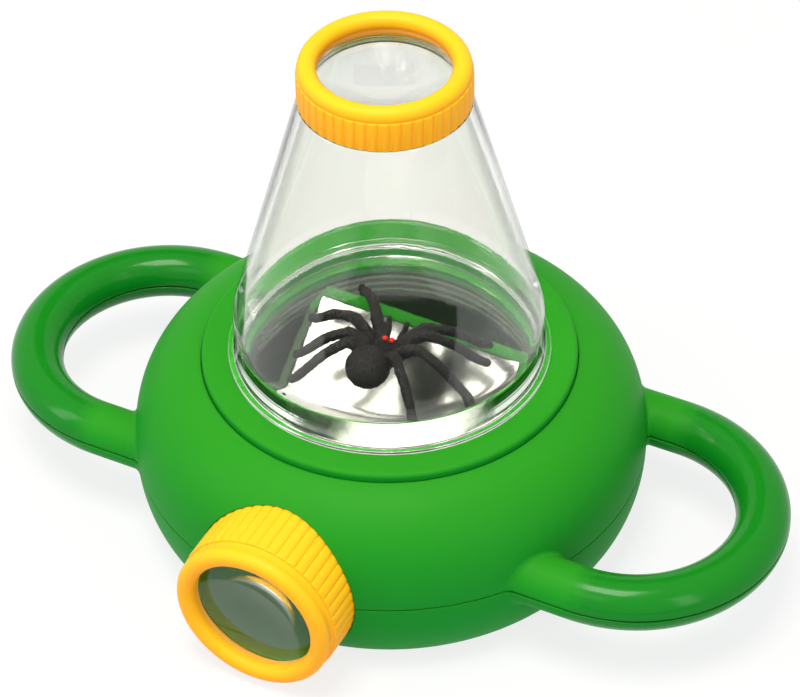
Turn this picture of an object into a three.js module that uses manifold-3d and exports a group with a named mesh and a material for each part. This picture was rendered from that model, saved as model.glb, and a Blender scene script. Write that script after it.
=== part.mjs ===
// Two-way bug viewer: a green two-shell base with loop handles, a clear viewing cone with a
// ribbed eyepiece on top, and a second ribbed eyepiece at the side that looks at a slanted mirror
// under the clear specimen floor.
//
// Frame: millimetres, +Z up. The origin is on the table, under the axis of the viewing cone.
// The side eyepiece looks out along -Y and the handles lie along -X and +X.
import * as THREE from 'three';
import { mergeVertices } from 'three/addons/utils/BufferGeometryUtils.js';
import Module from 'manifold-3d';

// Fits
const GAP = 0.3; // between pieces that rest on or against each other
const RUN_GAP = 0.4; // round pieces that turn or lift out

// Shells
const BODY_RADIUS = 65.2; // at the parting plane
const SPLIT_HEIGHT = 22.5; // the parting plane, the handles and the side eyepiece's axis
const SHELL_WALL = 2.4;
const DOME_TOP_HEIGHT = 49.6;
const DOME_FLAT_RADIUS = 38.5; // where the dome's curve has run out flat
const DOME_FULLNESS = 2.35; // exponent of the dome's outline
const TUB_CURVE_RADIUS = 37.9; // where the lower shell's curve would end, below the table
const TUB_CURVE_DEPTH = 29.1;
const TUB_FULLNESS = 2.19;
const BASE_EDGE = 1.2; // bevel round the underside

// Handles
const HANDLE_TUBE_RADIUS = 6.86;
const HANDLE_WALL = 2.2;
const HANDLE_BEND_RADIUS = 32.7; // centreline of the half round end
const HANDLE_STAND_OFF = 2; // from the body's widest point to the centre of that bend
const HANDLE_ROOT_DEPTH = 16.3; // how far the legs run into the body

// Opening in the dome and the chamber ring that sits in it
const RING_SEAT_DEPTH = 3; // below the top of the dome
const RING_SEAT_THICKNESS = 2.4;
const CHAMBER_RING_RADIUS = 46.9;
const CHAMBER_RING_THICKNESS = 3.75;
const CHAMBER_RING_EDGE = 0.6;
const DOME_OPENING_RADIUS = 41.5;
const WELL_INNER_RADIUS = 35.4;
const WELL_WALL = 1.8;
const WELL_DEPTH = 4.1; // below the ring's seat
const WELL_BACK_REACH = 7.2; // how much further down the well's wall goes behind the chamber
const WELL_STEPS = 3; // ledges in that back wall
const WELL_STEP_DEPTH = 0.8;
const WELL_BACK_INSET = 0.15; // of the back wall's two sides from the ring's own wall
const PLATE_RADIUS = 37.5;
const PLATE_THICKNESS = 1.6;

// Viewing cone. Its heights count from the underside of its flange.
const FLANGE_RADIUS = 40.5;
const FLANGE_THICKNESS = 1;
const SKIRT_RADIUS = 39;
const CONE_SLOPE = 0.2736; // change of radius for each millimetre of height
const CONE_WALL = 1.9;
const CONE_BEND = 3; // length of the blend on each side of the bend above the skirt
const SEAM_RISE = 8.85; // step on the inside, where the skirt's wall gets thicker
const SEAM_STEP = 0.7;
const SPIGOT_WALL = 1.2;
const NECK_SHOULDER_RISE = 78.15;
const NECK_SHOULDER_RADIUS = 20.9;
const NECK_RADIUS = 18.6; // thread root
const NECK_WALL = 1.4;
const NECK_LENGTH = 3.3;

// Ribbed eyepiece rings. Heights along each ring's own axis count from the middle of its lip.
const RING_RADIUS = 21.1;
const LIP_RADIUS = 18.4; // circle through the middle of the rounded lip
const LIP_ROUND = 2.35; // radius of the rounding
const EYE_RADIUS = 16.3;
const LENS_SEAT_DEPTH = 3.5;
const LENS_RADIUS = 17.4;
const LENS_EDGE = 1.3;
const LENS_BULGE = 1.5;
const RING_BORE_RADIUS = 19.9;
const RIB_COUNT = 48;
const GROOVE_WIDTH = 0.9;
const GROOVE_DEPTH = 0.4;
const RIB_BEVEL = 0.3;
const TOP_SKIRT_LENGTH = 8.5;
const TOP_RIB_START = 0.8; // below the lip's middle
const SIDE_SKIRT_LENGTH = 22.7;
const SIDE_RIB_START = 3.1;
const SIDE_RING_PROUD = 9; // from the body's widest point to the middle of the side ring's lip

// Screw threads between the rings and the tubes that carry them
const THREAD_HEIGHT = 0.85;
const THREAD_BASE = 0.8; // width at the root
const THREAD_CREST = 0.4;
const TOP_THREAD_LEAD = 2;
const SIDE_THREAD_LEAD = 3;
const SIDE_THREAD_TURNS = 2;
const SIDE_THREAD_START = 4; // from the open end of the side ring's skirt

// Side barrel and the pocket round the side ring. Depths count from the body's widest point.
const BARREL_DEPTH = 21.2;
const BARREL_FLANGE_RADIUS = 21.1;
const BARREL_FLANGE_THICKNESS = 2;
const BARREL_FLANGE_DEPTH = 18.5; // middle of the flange
const POCKET_DEPTH = 15.2;
const POCKET_GAP = 0.55;
const POCKET_WALL = 1.7;
const POCKET_SLEEVE_DEPTH = 22;

// Mirror under the specimen floor: it slants at 45 degrees through the crossing of the two axes
const MIRROR_WIDTH = 58;
const MIRROR_LENGTH = 45.4;
const MIRROR_THICKNESS = 2;
const MIRROR_MIDDLE_Y = 2; // middle of the mirror, measured along Y
const FRAME_BORDER = 2;
const FRAME_BACK = 2;
const FRAME_RIM = 2.6; // height of the rim beside the mirror
const FRAME_TOP_GAP = 4; // between the bar along the mirror's upper edge and the floor above it
const BRACKET_THICKNESS = 2.4;
const BRACKET_SPACING = 40;
const FOOT_LENGTH = 12;
const FOOT_WIDTH = 9;
const FOOT_THICKNESS = 2.2;
const FOOT_Y = 14;

// Screws
const POST_INSET = 15.2; // from the body's widest point
const POST_RADIUS = 4.6;
const SCREW_SHANK_RADIUS = 1.25;
const SCREW_HEAD_RADIUS = 2.8;
const SCREW_HEAD_THICKNESS = 1.8;
const SCREW_HEAD_EDGE = 0.6;
const SCREW_SLOT_WIDTH = 0.8;
const SCREW_POINT_LENGTH = 1.5;
const SCREW_SHANK_LENGTH = 22;
const POST_WEB_HEIGHT = 12; // underside of the web that each head pulls against
const FRAME_SCREW_LENGTH = 5;
const FRAME_BOSS_HEIGHT = 3.4; // above the lower shell's floor
const FRAME_BOSS_RADIUS = 3.6;

// Toy spider that stands on the specimen floor, in the middle of the chamber
const SPIDER_HEADING = 90; // degrees from +X
const SPIDER_X = 2.2;
const SPIDER_Y = -7.2;
const BODY_HEIGHT = 6.3; // middle of the front body above the specimen floor
const FRONT_BODY_LENGTH = 10;
const FRONT_BODY_WIDTH = 9.4;
const FRONT_BODY_THICKNESS = 5;
const ABDOMEN_LENGTH = 11.4;
const ABDOMEN_WIDTH = 11;
const ABDOMEN_THICKNESS = 10.6;
const ABDOMEN_BACK = 6.3; // from the front body's middle
const ABDOMEN_SIDE = 1.3;
const ABDOMEN_RISE = 0.6;
const LEG_ROOT = 3; // from the front body's middle to the start of each leg
const LEG_REACH = 25;
const LEG_RADIUS = 1.4;
const FOOT_RADIUS = 0.95;
const KNEE_HEIGHT = 11.5;
// Each leg's bearing from the heading in degrees, and its share of the reach
const RIGHT_LEGS = [[-44, 1.11], [-58, 1.02], [-92, 0.99], [-133, 0.88]];
const LEFT_LEGS = [[38, 1.26], [70, 1.1], [101, 0.92], [125, 0.93]];
const PALP_REACH = 8;
const PALP_RADIUS = 0.8;
const PALP_SPREAD = 1.3; // from the middle to each side
const HEAD_RADIUS = 2.6;
const HEAD_DEPTH = 3.1; // how far the head's middle lies behind the front body's end
const HEAD_RISE = -0.2;
const TOY_EYE_RADIUS = 0.75;

// Facets round each circle
const SEGMENTS = 40;
const RING_SEGMENTS = 48;
const BORE_SEGMENTS = 32;
const SMALL_SEGMENTS = 8;
const EGG_SEGMENTS = 16;
const THREAD_STEPS = 24; // for each turn

// Sizes that follow from those above
const HANDLE_BEND_X = BODY_RADIUS + HANDLE_STAND_OFF;
const RING_SEAT_HEIGHT = DOME_TOP_HEIGHT - RING_SEAT_DEPTH;
const CHAMBER_RING_TOP = RING_SEAT_HEIGHT + GAP + CHAMBER_RING_THICKNESS;
const WELL_BOTTOM = RING_SEAT_HEIGHT - WELL_DEPTH;
const PLATE_BOTTOM = RING_SEAT_HEIGHT + GAP;
const PLATE_TOP = PLATE_BOTTOM + PLATE_THICKNESS;
const FLANGE_BOTTOM = CHAMBER_RING_TOP + GAP;
const SEAM_HEIGHT = FLANGE_BOTTOM + SEAM_RISE;
const NECK_SHOULDER_HEIGHT = FLANGE_BOTTOM + NECK_SHOULDER_RISE;
const TOP_LIP_HEIGHT = NECK_SHOULDER_HEIGHT + RUN_GAP + TOP_SKIRT_LENGTH;
const NECK_TOP_DEPTH = TOP_LIP_HEIGHT - NECK_SHOULDER_HEIGHT - NECK_LENGTH; // below the top lip
const SIDE_RING_REACH = BODY_RADIUS + SIDE_RING_PROUD;
const BARREL_FLANGE_Y = BARREL_FLANGE_DEPTH - BODY_RADIUS;
const BARREL_LENGTH = SIDE_RING_PROUD - NECK_TOP_DEPTH + BARREL_DEPTH;
const POCKET_RADIUS = RING_RADIUS + POCKET_GAP;
const POCKET_FLOOR_Y = POCKET_DEPTH - BODY_RADIUS;
const POCKET_END_Y = POCKET_SLEEVE_DEPTH - BODY_RADIUS;
const POST_CIRCLE_RADIUS = BODY_RADIUS - POST_INSET;

const wasm = await Module();
wasm.setup();

const radians = THREE.MathUtils.degToRad;

// Closed solids and their joins and cuts

function solid(geometry) {
  const bare = geometry.clone();
  bare.deleteAttribute('normal');
  bare.deleteAttribute('uv');
  const merged = mergeVertices(bare, 1e-4);
  const points = merged.getAttribute('position').array;
  const corners = merged.getIndex().array;
  const faces = [];
  const a = new THREE.Vector3();
  const b = new THREE.Vector3();
  const c = new THREE.Vector3();
  let volume = 0;
  for (let i = 0; i < corners.length; i += 3) {
    const [p, q, r] = [corners[i], corners[i + 1], corners[i + 2]];
    if (p === q || q === r || r === p) continue;
    faces.push([p, q, r]);
    volume += a.fromArray(points, 3 * p).dot(b.fromArray(points, 3 * q).cross(c.fromArray(points, 3 * r)));
  }
  const outward = volume > 0 ? faces : faces.map(([p, q, r]) => [p, r, q]);
  return new wasm.Manifold(new wasm.Mesh({
    numProp: 3,
    vertProperties: new Float32Array(points),
    triVerts: new Uint32Array(outward.flat()),
  }));
}

const join = (first, ...others) => others.reduce((sum, other) => sum.add(other), first);
const cut = (first, ...others) => others.reduce((rest, other) => rest.subtract(other), first);

function geometryOf(manifold) {
  const mesh = manifold.getMesh();
  const geometry = new THREE.BufferGeometry();
  geometry.setAttribute('position', new THREE.BufferAttribute(new Float32Array(mesh.vertProperties), 3));
  geometry.setIndex(new THREE.BufferAttribute(new Uint32Array(mesh.triVerts), 1));
  return geometry;
}

// Profiles are lists of [radius, height], turned about +Z

function turned(profile, segments = SEGMENTS) {
  const points = profile.map(([radius, height]) => new THREE.Vector2(Math.max(radius, 0), height));
  const onAxis = profile[0][0] <= 0 && profile[profile.length - 1][0] <= 0;
  if (!onAxis) points.push(points[0].clone());
  return solid(new THREE.LatheGeometry(points, segments).rotateX(Math.PI / 2));
}

function disc(radius, low, high, segments = SEGMENTS) {
  return turned([[0, low], [radius, low], [radius, high], [0, high]], segments);
}

function block(x0, x1, y0, y1, z0, z1) {
  const box = new THREE.BoxGeometry(x1 - x0, y1 - y0, z1 - z0);
  return solid(box.translate((x0 + x1) / 2, (y0 + y1) / 2, (z0 + z1) / 2));
}

// Points on an arc from one angle to another, in degrees
function arc(radius, height, round, from, to, steps) {
  const points = [];
  for (let i = 0; i <= steps; i += 1) {
    const angle = radians(from + ((to - from) * i) / steps);
    points.push([radius + round * Math.cos(angle), height + round * Math.sin(angle)]);
  }
  return points;
}

// Skin over a row of closed sections with the same number of points, with flat ends
function swept(sections) {
  const count = sections[0].length;
  const points = sections.flat();
  const faces = [];
  for (let s = 0; s + 1 < sections.length; s += 1) {
    for (let i = 0; i < count; i += 1) {
      const j = (i + 1) % count;
      const [a, b, c, d] = [s * count + i, s * count + j, (s + 1) * count + j, (s + 1) * count + i];
      faces.push(a, b, c, a, c, d);
    }
  }
  const last = (sections.length - 1) * count;
  for (let i = 1; i + 1 < count; i += 1) {
    faces.push(0, i + 1, i, last, last + i, last + i + 1);
  }
  const geometry = new THREE.BufferGeometry();
  geometry.setAttribute('position', new THREE.BufferAttribute(new Float32Array(points.flat()), 3));
  geometry.setIndex(faces);
  return solid(geometry);
}

// Moves a solid built along +Z, about its own lip plane, to the top or the side of the viewer
const toTop = new THREE.Matrix4().makeTranslation(0, 0, TOP_LIP_HEIGHT);
const toSide = new THREE.Matrix4().makeTranslation(0, -SIDE_RING_REACH, SPLIT_HEIGHT)
  .multiply(new THREE.Matrix4().makeRotationX(Math.PI / 2));

const placed = (manifold, matrix) => solid(geometryOf(manifold).applyMatrix4(matrix));

// Outline of a quarter of a superellipse, from its widest point to its top or bottom
function quarterOutline(innerRadius, outerRadius, startHeight, rise, fullness, steps) {
  const points = [];
  for (let i = 0; i <= steps; i += 1) {
    const angle = (Math.PI / 2) * (i / steps);
    const across = i === steps ? 0 : Math.cos(angle) ** (2 / fullness);
    points.push([
      innerRadius + (outerRadius - innerRadius) * across,
      startHeight + rise * Math.sin(angle) ** (2 / fullness),
    ]);
  }
  return points;
}

function tubRadius(height) {
  const share = (SPLIT_HEIGHT - height) / TUB_CURVE_DEPTH;
  const across = (1 - share ** TUB_FULLNESS) ** (1 / TUB_FULLNESS);
  return TUB_CURVE_RADIUS + (BODY_RADIUS - TUB_CURVE_RADIUS) * across;
}

// Both shells together, as the outer form or, drawn in by the wall, as the hollow
function bodyForm(inset) {
  const low = inset;
  const edge = inset > 0 ? 0 : BASE_EDGE;
  const tub = [[0, low], [tubRadius(edge + low) - inset - edge, low]];
  const steps = inset > 0 ? 4 : 6;
  for (let i = 0; i < steps; i += 1) {
    const height = low + edge + ((SPLIT_HEIGHT - low - edge) * i) / steps;
    tub.push([tubRadius(height) - inset, height]);
  }
  const rise = DOME_TOP_HEIGHT - SPLIT_HEIGHT - inset;
  const domeSteps = inset > 0 ? 6 : 9;
  const dome = quarterOutline(
    DOME_FLAT_RADIUS, BODY_RADIUS - inset, SPLIT_HEIGHT, rise, DOME_FULLNESS, domeSteps,
  );
  return turned([...tub, ...dome, [0, DOME_TOP_HEIGHT - inset]]);
}

// Tube bent to a loop whose two legs run back into the body
function handleTube(side, radius, sides) {
  const legStart = BODY_RADIUS - HANDLE_ROOT_DEPTH;
  const bendSteps = 14;
  const stations = [[legStart, -HANDLE_BEND_RADIUS, 0, -1]];
  for (let i = 0; i <= bendSteps; i += 1) {
    const angle = Math.PI * (i / bendSteps - 0.5);
    const [along, across] = [Math.cos(angle), Math.sin(angle)];
    stations.push([
      HANDLE_BEND_X + HANDLE_BEND_RADIUS * along, HANDLE_BEND_RADIUS * across, along, across,
    ]);
  }
  stations.push([legStart, HANDLE_BEND_RADIUS, 0, 1]);
  return swept(stations.map(([x, y, outX, outY]) => Array.from({ length: sides }, (_, i) => {
    const angle = (2 * Math.PI * i) / sides;
    const out = radius * Math.cos(angle);
    return [side * (x + outX * out), y + outY * out, SPLIT_HEIGHT + radius * Math.sin(angle)];
  })));
}

const postPlaces = [45, 135, 225, 315].map((bearing) => [
  POST_CIRCLE_RADIUS * Math.cos(radians(bearing)),
  POST_CIRCLE_RADIUS * Math.sin(radians(bearing)),
]);

const atPlaces = (manifold, places) => places.map(([x, y]) => manifold.translate([x, y, 0]));

// Round solid along -Y on the side eyepiece's axis, between two values of Y
function alongSide(radius, nearY, farY) {
  const round = disc(radius, 0, farY - nearY);
  return placed(round, new THREE.Matrix4().makeTranslation(0, farY, SPLIT_HEIGHT)
    .multiply(new THREE.Matrix4().makeRotationX(Math.PI / 2)));
}

const framePlaces = [-1, 1].map((side) => [
  side * (BRACKET_SPACING / 2 + BRACKET_THICKNESS / 2 + FOOT_WIDTH / 2), FOOT_Y,
]);

function wholeShell() {
  const form = bodyForm(0);
  const handles = [-1, 1].map((side) => handleTube(side, HANDLE_TUBE_RADIUS, 12));
  const bores = [-1, 1].map((side) => handleTube(side, HANDLE_TUBE_RADIUS - HANDLE_WALL, 6));
  const skin = cut(join(form, ...handles), bodyForm(SHELL_WALL), ...bores);

  const posts = atPlaces(disc(POST_RADIUS, 0, DOME_TOP_HEIGHT, SMALL_SEGMENTS), postPlaces);
  const seat = turned([
    [DOME_OPENING_RADIUS, RING_SEAT_HEIGHT - RING_SEAT_THICKNESS],
    [CHAMBER_RING_RADIUS + SHELL_WALL, RING_SEAT_HEIGHT - RING_SEAT_THICKNESS],
    [CHAMBER_RING_RADIUS + SHELL_WALL, DOME_TOP_HEIGHT],
    [DOME_OPENING_RADIUS, DOME_TOP_HEIGHT],
  ]);
  const sleeve = alongSide(POCKET_RADIUS + POCKET_WALL, -BODY_RADIUS, POCKET_END_Y);
  const bosses = atPlaces(
    disc(FRAME_BOSS_RADIUS, SHELL_WALL / 2, SHELL_WALL + FRAME_BOSS_HEIGHT, SMALL_SEGMENTS),
    framePlaces,
  );
  const filled = join(skin, ...[...posts, seat, sleeve, ...bosses].map((piece) => piece.intersect(form)));

  const grooveHalf = BARREL_FLANGE_THICKNESS / 2 + GAP;
  return cut(
    filled,
    disc(CHAMBER_RING_RADIUS + RUN_GAP, RING_SEAT_HEIGHT, DOME_TOP_HEIGHT + 1),
    disc(DOME_OPENING_RADIUS, RING_SEAT_HEIGHT - 2 * RING_SEAT_THICKNESS, DOME_TOP_HEIGHT),
    alongSide(POCKET_RADIUS, -BODY_RADIUS - 1, POCKET_FLOOR_Y),
    alongSide(NECK_RADIUS + GAP, POCKET_FLOOR_Y - 1, POCKET_END_Y + 1),
    alongSide(BARREL_FLANGE_RADIUS + GAP, BARREL_FLANGE_Y - grooveHalf, BARREL_FLANGE_Y + grooveHalf),
    ...atPlaces(disc(SCREW_HEAD_RADIUS + GAP, -1, POST_WEB_HEIGHT, SMALL_SEGMENTS), postPlaces),
    ...atPlaces(
      disc(SCREW_SHANK_RADIUS + GAP, 0, POST_WEB_HEIGHT + SCREW_SHANK_LENGTH + 1, SMALL_SEGMENTS),
      postPlaces,
    ),
    ...atPlaces(
      disc(SCREW_SHANK_RADIUS + GAP, SHELL_WALL, SHELL_WALL + FRAME_BOSS_HEIGHT + 1, SMALL_SEGMENTS),
      framePlaces,
    ),
  );
}

// The parting plane leaves half a gap on each shell
function splitShells() {
  const whole = wholeShell();
  const reach = 2 * (HANDLE_BEND_X + HANDLE_BEND_RADIUS);
  const above = block(-reach, reach, -reach, reach, SPLIT_HEIGHT + GAP / 2, 2 * DOME_TOP_HEIGHT);
  const below = block(-reach, reach, -reach, reach, -reach, SPLIT_HEIGHT - GAP / 2);
  return [whole.intersect(above), whole.intersect(below)];
}

// Back half of the well's wall, with ledges. The front stays open for the side eyepiece's view.
function wellBack() {
  const high = WELL_BOTTOM + 1;
  const low = WELL_BOTTOM - WELL_BACK_REACH;
  const pitch = WELL_BACK_REACH / WELL_STEPS;
  const inner = WELL_INNER_RADIUS + WELL_BACK_INSET;
  const outer = WELL_INNER_RADIUS + WELL_WALL - WELL_BACK_INSET;
  const groove = inner + WELL_STEP_DEPTH;
  const ledges = Array.from({ length: WELL_STEPS }, (_, i) => {
    const top = WELL_BOTTOM - (i + 0.25) * pitch;
    return [[inner, top], [groove, top], [groove, top - pitch / 2], [inner, top - pitch / 2]];
  });
  const behind = block(-2 * outer, 2 * outer, -WELL_BACK_INSET, 2 * outer, 0, 2 * high);
  return turned([[inner, low], [outer, low], [outer, high], [inner, high], ...ledges.flat()])
    .intersect(behind);
}

function chamberRing() {
  const bottom = RING_SEAT_HEIGHT + GAP;
  return join(wellBack(), turned([
    [WELL_INNER_RADIUS, WELL_BOTTOM],
    [WELL_INNER_RADIUS + WELL_WALL, WELL_BOTTOM],
    [WELL_INNER_RADIUS + WELL_WALL, RING_SEAT_HEIGHT - RING_SEAT_THICKNESS],
    [DOME_OPENING_RADIUS - RUN_GAP, RING_SEAT_HEIGHT - RING_SEAT_THICKNESS],
    [DOME_OPENING_RADIUS - RUN_GAP, bottom],
    [CHAMBER_RING_RADIUS, bottom],
    [CHAMBER_RING_RADIUS, CHAMBER_RING_TOP - CHAMBER_RING_EDGE],
    [CHAMBER_RING_RADIUS - CHAMBER_RING_EDGE, CHAMBER_RING_TOP],
    [PLATE_RADIUS + GAP, CHAMBER_RING_TOP],
    [PLATE_RADIUS + GAP, RING_SEAT_HEIGHT],
    [WELL_INNER_RADIUS, RING_SEAT_HEIGHT],
  ]));
}

const specimenFloor = () => disc(PLATE_RADIUS, PLATE_TOP - PLATE_THICKNESS, PLATE_TOP);

// Helical ridge along +Z. Its crest points out from the axis, or in when outward is -1.
function threadRidge({ radius, outward, lead, turns, startTurn, startHeight }) {
  const steps = Math.round(turns * THREAD_STEPS);
  const sections = [];
  for (let i = 0; i <= steps; i += 1) {
    const turn = startTurn + (turns * i) / steps;
    const angle = 2 * Math.PI * turn;
    const height = startHeight + lead * turn;
    const taper = Math.min(1, 0.2 + i / 2, 0.2 + (steps - i) / 2);
    const root = radius - outward * 0.3;
    const crest = radius + outward * THREAD_HEIGHT * taper;
    const outline = [
      [root, -THREAD_BASE / 2], [crest, -THREAD_CREST / 2],
      [crest, THREAD_CREST / 2], [root, THREAD_BASE / 2],
    ];
    sections.push(outline.map(([r, z]) => [r * Math.cos(angle), r * Math.sin(angle), height + z]));
  }
  return swept(sections);
}

const coneRadius = (height) => NECK_SHOULDER_RADIUS + CONE_SLOPE * (NECK_SHOULDER_HEIGHT - height);

function viewingCone() {
  const bendHeight = NECK_SHOULDER_HEIGHT - (SKIRT_RADIUS - NECK_SHOULDER_RADIUS) / CONE_SLOPE;
  const neckInner = NECK_RADIUS - NECK_WALL;
  const neckTop = NECK_SHOULDER_HEIGHT + NECK_LENGTH;
  const flangeTop = FLANGE_BOTTOM + FLANGE_THICKNESS;
  const skirtInner = coneRadius(SEAM_HEIGHT) - CONE_WALL - SEAM_STEP;
  const spigotOuter = PLATE_RADIUS;
  const body = turned([
    [spigotOuter - SPIGOT_WALL, PLATE_TOP + GAP],
    [spigotOuter, PLATE_TOP + GAP],
    [spigotOuter, FLANGE_BOTTOM],
    [FLANGE_RADIUS, FLANGE_BOTTOM],
    [FLANGE_RADIUS, flangeTop],
    [SKIRT_RADIUS, flangeTop],
    [SKIRT_RADIUS, bendHeight - CONE_BEND],
    [coneRadius(bendHeight + CONE_BEND / 6), bendHeight],
    [coneRadius(bendHeight + CONE_BEND), bendHeight + CONE_BEND],
    [NECK_SHOULDER_RADIUS, NECK_SHOULDER_HEIGHT],
    [NECK_RADIUS, NECK_SHOULDER_HEIGHT],
    [NECK_RADIUS, neckTop],
    [neckInner, neckTop],
    [neckInner, NECK_SHOULDER_HEIGHT],
    [NECK_SHOULDER_RADIUS - CONE_WALL, NECK_SHOULDER_HEIGHT - CONE_WALL],
    [coneRadius(bendHeight + CONE_BEND) - CONE_WALL, bendHeight + CONE_BEND],
    [skirtInner + SEAM_STEP, SEAM_HEIGHT],
    [skirtInner, SEAM_HEIGHT - SEAM_STEP],
    [spigotOuter - SPIGOT_WALL, FLANGE_BOTTOM],
  ]);
  const thread = threadRidge({
    radius: NECK_RADIUS,
    outward: 1,
    lead: TOP_THREAD_LEAD,
    turns: 1,
    startTurn: 0,
    startHeight: NECK_SHOULDER_HEIGHT + THREAD_BASE,
  });
  return join(body, thread);
}

// Ribbed ring with a rounded lip, built along +Z with its lip's middle at height 0
function eyepieceRing(skirtLength, ribStart, thread) {
  const collar = Math.min(ribStart, LIP_ROUND / 2);
  const lipEnd = THREE.MathUtils.radToDeg(Math.asin(collar / LIP_ROUND));
  const collarRadius = LIP_RADIUS + LIP_ROUND * Math.cos(radians(lipEnd));
  const pocketEnd = -NECK_TOP_DEPTH + GAP;
  const body = turned([
    [RING_BORE_RADIUS, -skirtLength],
    [RING_RADIUS, -skirtLength],
    [RING_RADIUS, -ribStart - RIB_BEVEL],
    [RING_RADIUS - RIB_BEVEL, -ribStart],
    ...(ribStart > collar ? [[collarRadius, -ribStart]] : []),
    ...arc(LIP_RADIUS, 0, LIP_ROUND, -lipEnd, 180, 6),
    [EYE_RADIUS, -LENS_SEAT_DEPTH],
    [LENS_RADIUS + GAP, -LENS_SEAT_DEPTH],
    [LENS_RADIUS + GAP, pocketEnd],
    [RING_BORE_RADIUS, pocketEnd],
  ], RING_SEGMENTS);
  const notch = new THREE.Shape([
    new THREE.Vector2(RING_RADIUS - GROOVE_DEPTH, 0),
    new THREE.Vector2(RING_RADIUS + GROOVE_DEPTH, -GROOVE_WIDTH),
    new THREE.Vector2(RING_RADIUS + GROOVE_DEPTH, GROOVE_WIDTH),
  ]);
  const groove = solid(new THREE.ExtrudeGeometry(notch, { depth: skirtLength, bevelEnabled: false })
    .translate(0, 0, -skirtLength - ribStart - GROOVE_DEPTH));
  const grooves = Array.from({ length: RIB_COUNT }, (_, i) => groove.rotate([0, 0, (360 * i) / RIB_COUNT]));
  return join(cut(body, ...grooves), threadRidge(thread));
}

const topRing = () => eyepieceRing(TOP_SKIRT_LENGTH, TOP_RIB_START, {
  radius: RING_BORE_RADIUS,
  outward: -1,
  lead: TOP_THREAD_LEAD,
  turns: 0.45,
  startTurn: 0.5,
  startHeight: -TOP_SKIRT_LENGTH - RUN_GAP + THREAD_BASE - TOP_THREAD_LEAD / 2,
});

const sideThreadStart = SIDE_THREAD_START - SIDE_SKIRT_LENGTH;

const sideRing = () => eyepieceRing(SIDE_SKIRT_LENGTH, SIDE_RIB_START, {
  radius: RING_BORE_RADIUS,
  outward: -1,
  lead: SIDE_THREAD_LEAD,
  turns: 1,
  startTurn: 0.5,
  startHeight: sideThreadStart - SIDE_THREAD_LEAD / 2,
});

// Lens with two gently curved faces, in the ring's own heights
function lens() {
  const top = -LENS_SEAT_DEPTH - GAP;
  const bottom = top - LENS_EDGE;
  const steps = 3;
  const face = (level, bulge) => Array.from({ length: steps }, (_, i) => {
    const share = (i + 1) / steps;
    return [LENS_RADIUS * (1 - share), level + bulge * (1 - (1 - share) ** 2)];
  });
  return turned([
    ...face(bottom, -LENS_BULGE).reverse(),
    [LENS_RADIUS, bottom],
    [LENS_RADIUS, top],
    ...face(top, LENS_BULGE),
  ], BORE_SEGMENTS);
}

// Threaded tube with a flange that both shells clamp, in the side ring's own heights
function sideBarrel() {
  const front = -NECK_TOP_DEPTH;
  const flange = -SIDE_RING_REACH - BARREL_FLANGE_Y;
  const tube = turned([
    [NECK_RADIUS - NECK_WALL, front - BARREL_LENGTH],
    [NECK_RADIUS, front - BARREL_LENGTH],
    [NECK_RADIUS, flange - BARREL_FLANGE_THICKNESS / 2],
    [BARREL_FLANGE_RADIUS, flange - BARREL_FLANGE_THICKNESS / 2],
    [BARREL_FLANGE_RADIUS, flange + BARREL_FLANGE_THICKNESS / 2],
    [NECK_RADIUS, flange + BARREL_FLANGE_THICKNESS / 2],
    [NECK_RADIUS, front],
    [NECK_RADIUS - NECK_WALL, front],
  ], BORE_SEGMENTS);
  return join(tube, threadRidge({
    radius: NECK_RADIUS,
    outward: 1,
    lead: SIDE_THREAD_LEAD,
    turns: SIDE_THREAD_TURNS,
    startTurn: 0,
    startHeight: sideThreadStart,
  }));
}

// The mirror and its frame are built flat, with the mirror's silvered face at height 0
const toMirror = new THREE.Matrix4().makeTranslation(0, MIRROR_MIDDLE_Y, SPLIT_HEIGHT + MIRROR_MIDDLE_Y)
  .multiply(new THREE.Matrix4().makeRotationX(Math.PI / 4));

function mirror() {
  const [w, l] = [MIRROR_WIDTH / 2, MIRROR_LENGTH / 2];
  return placed(block(-w, w, -l, l, -MIRROR_THICKNESS, 0), toMirror);
}

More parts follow.
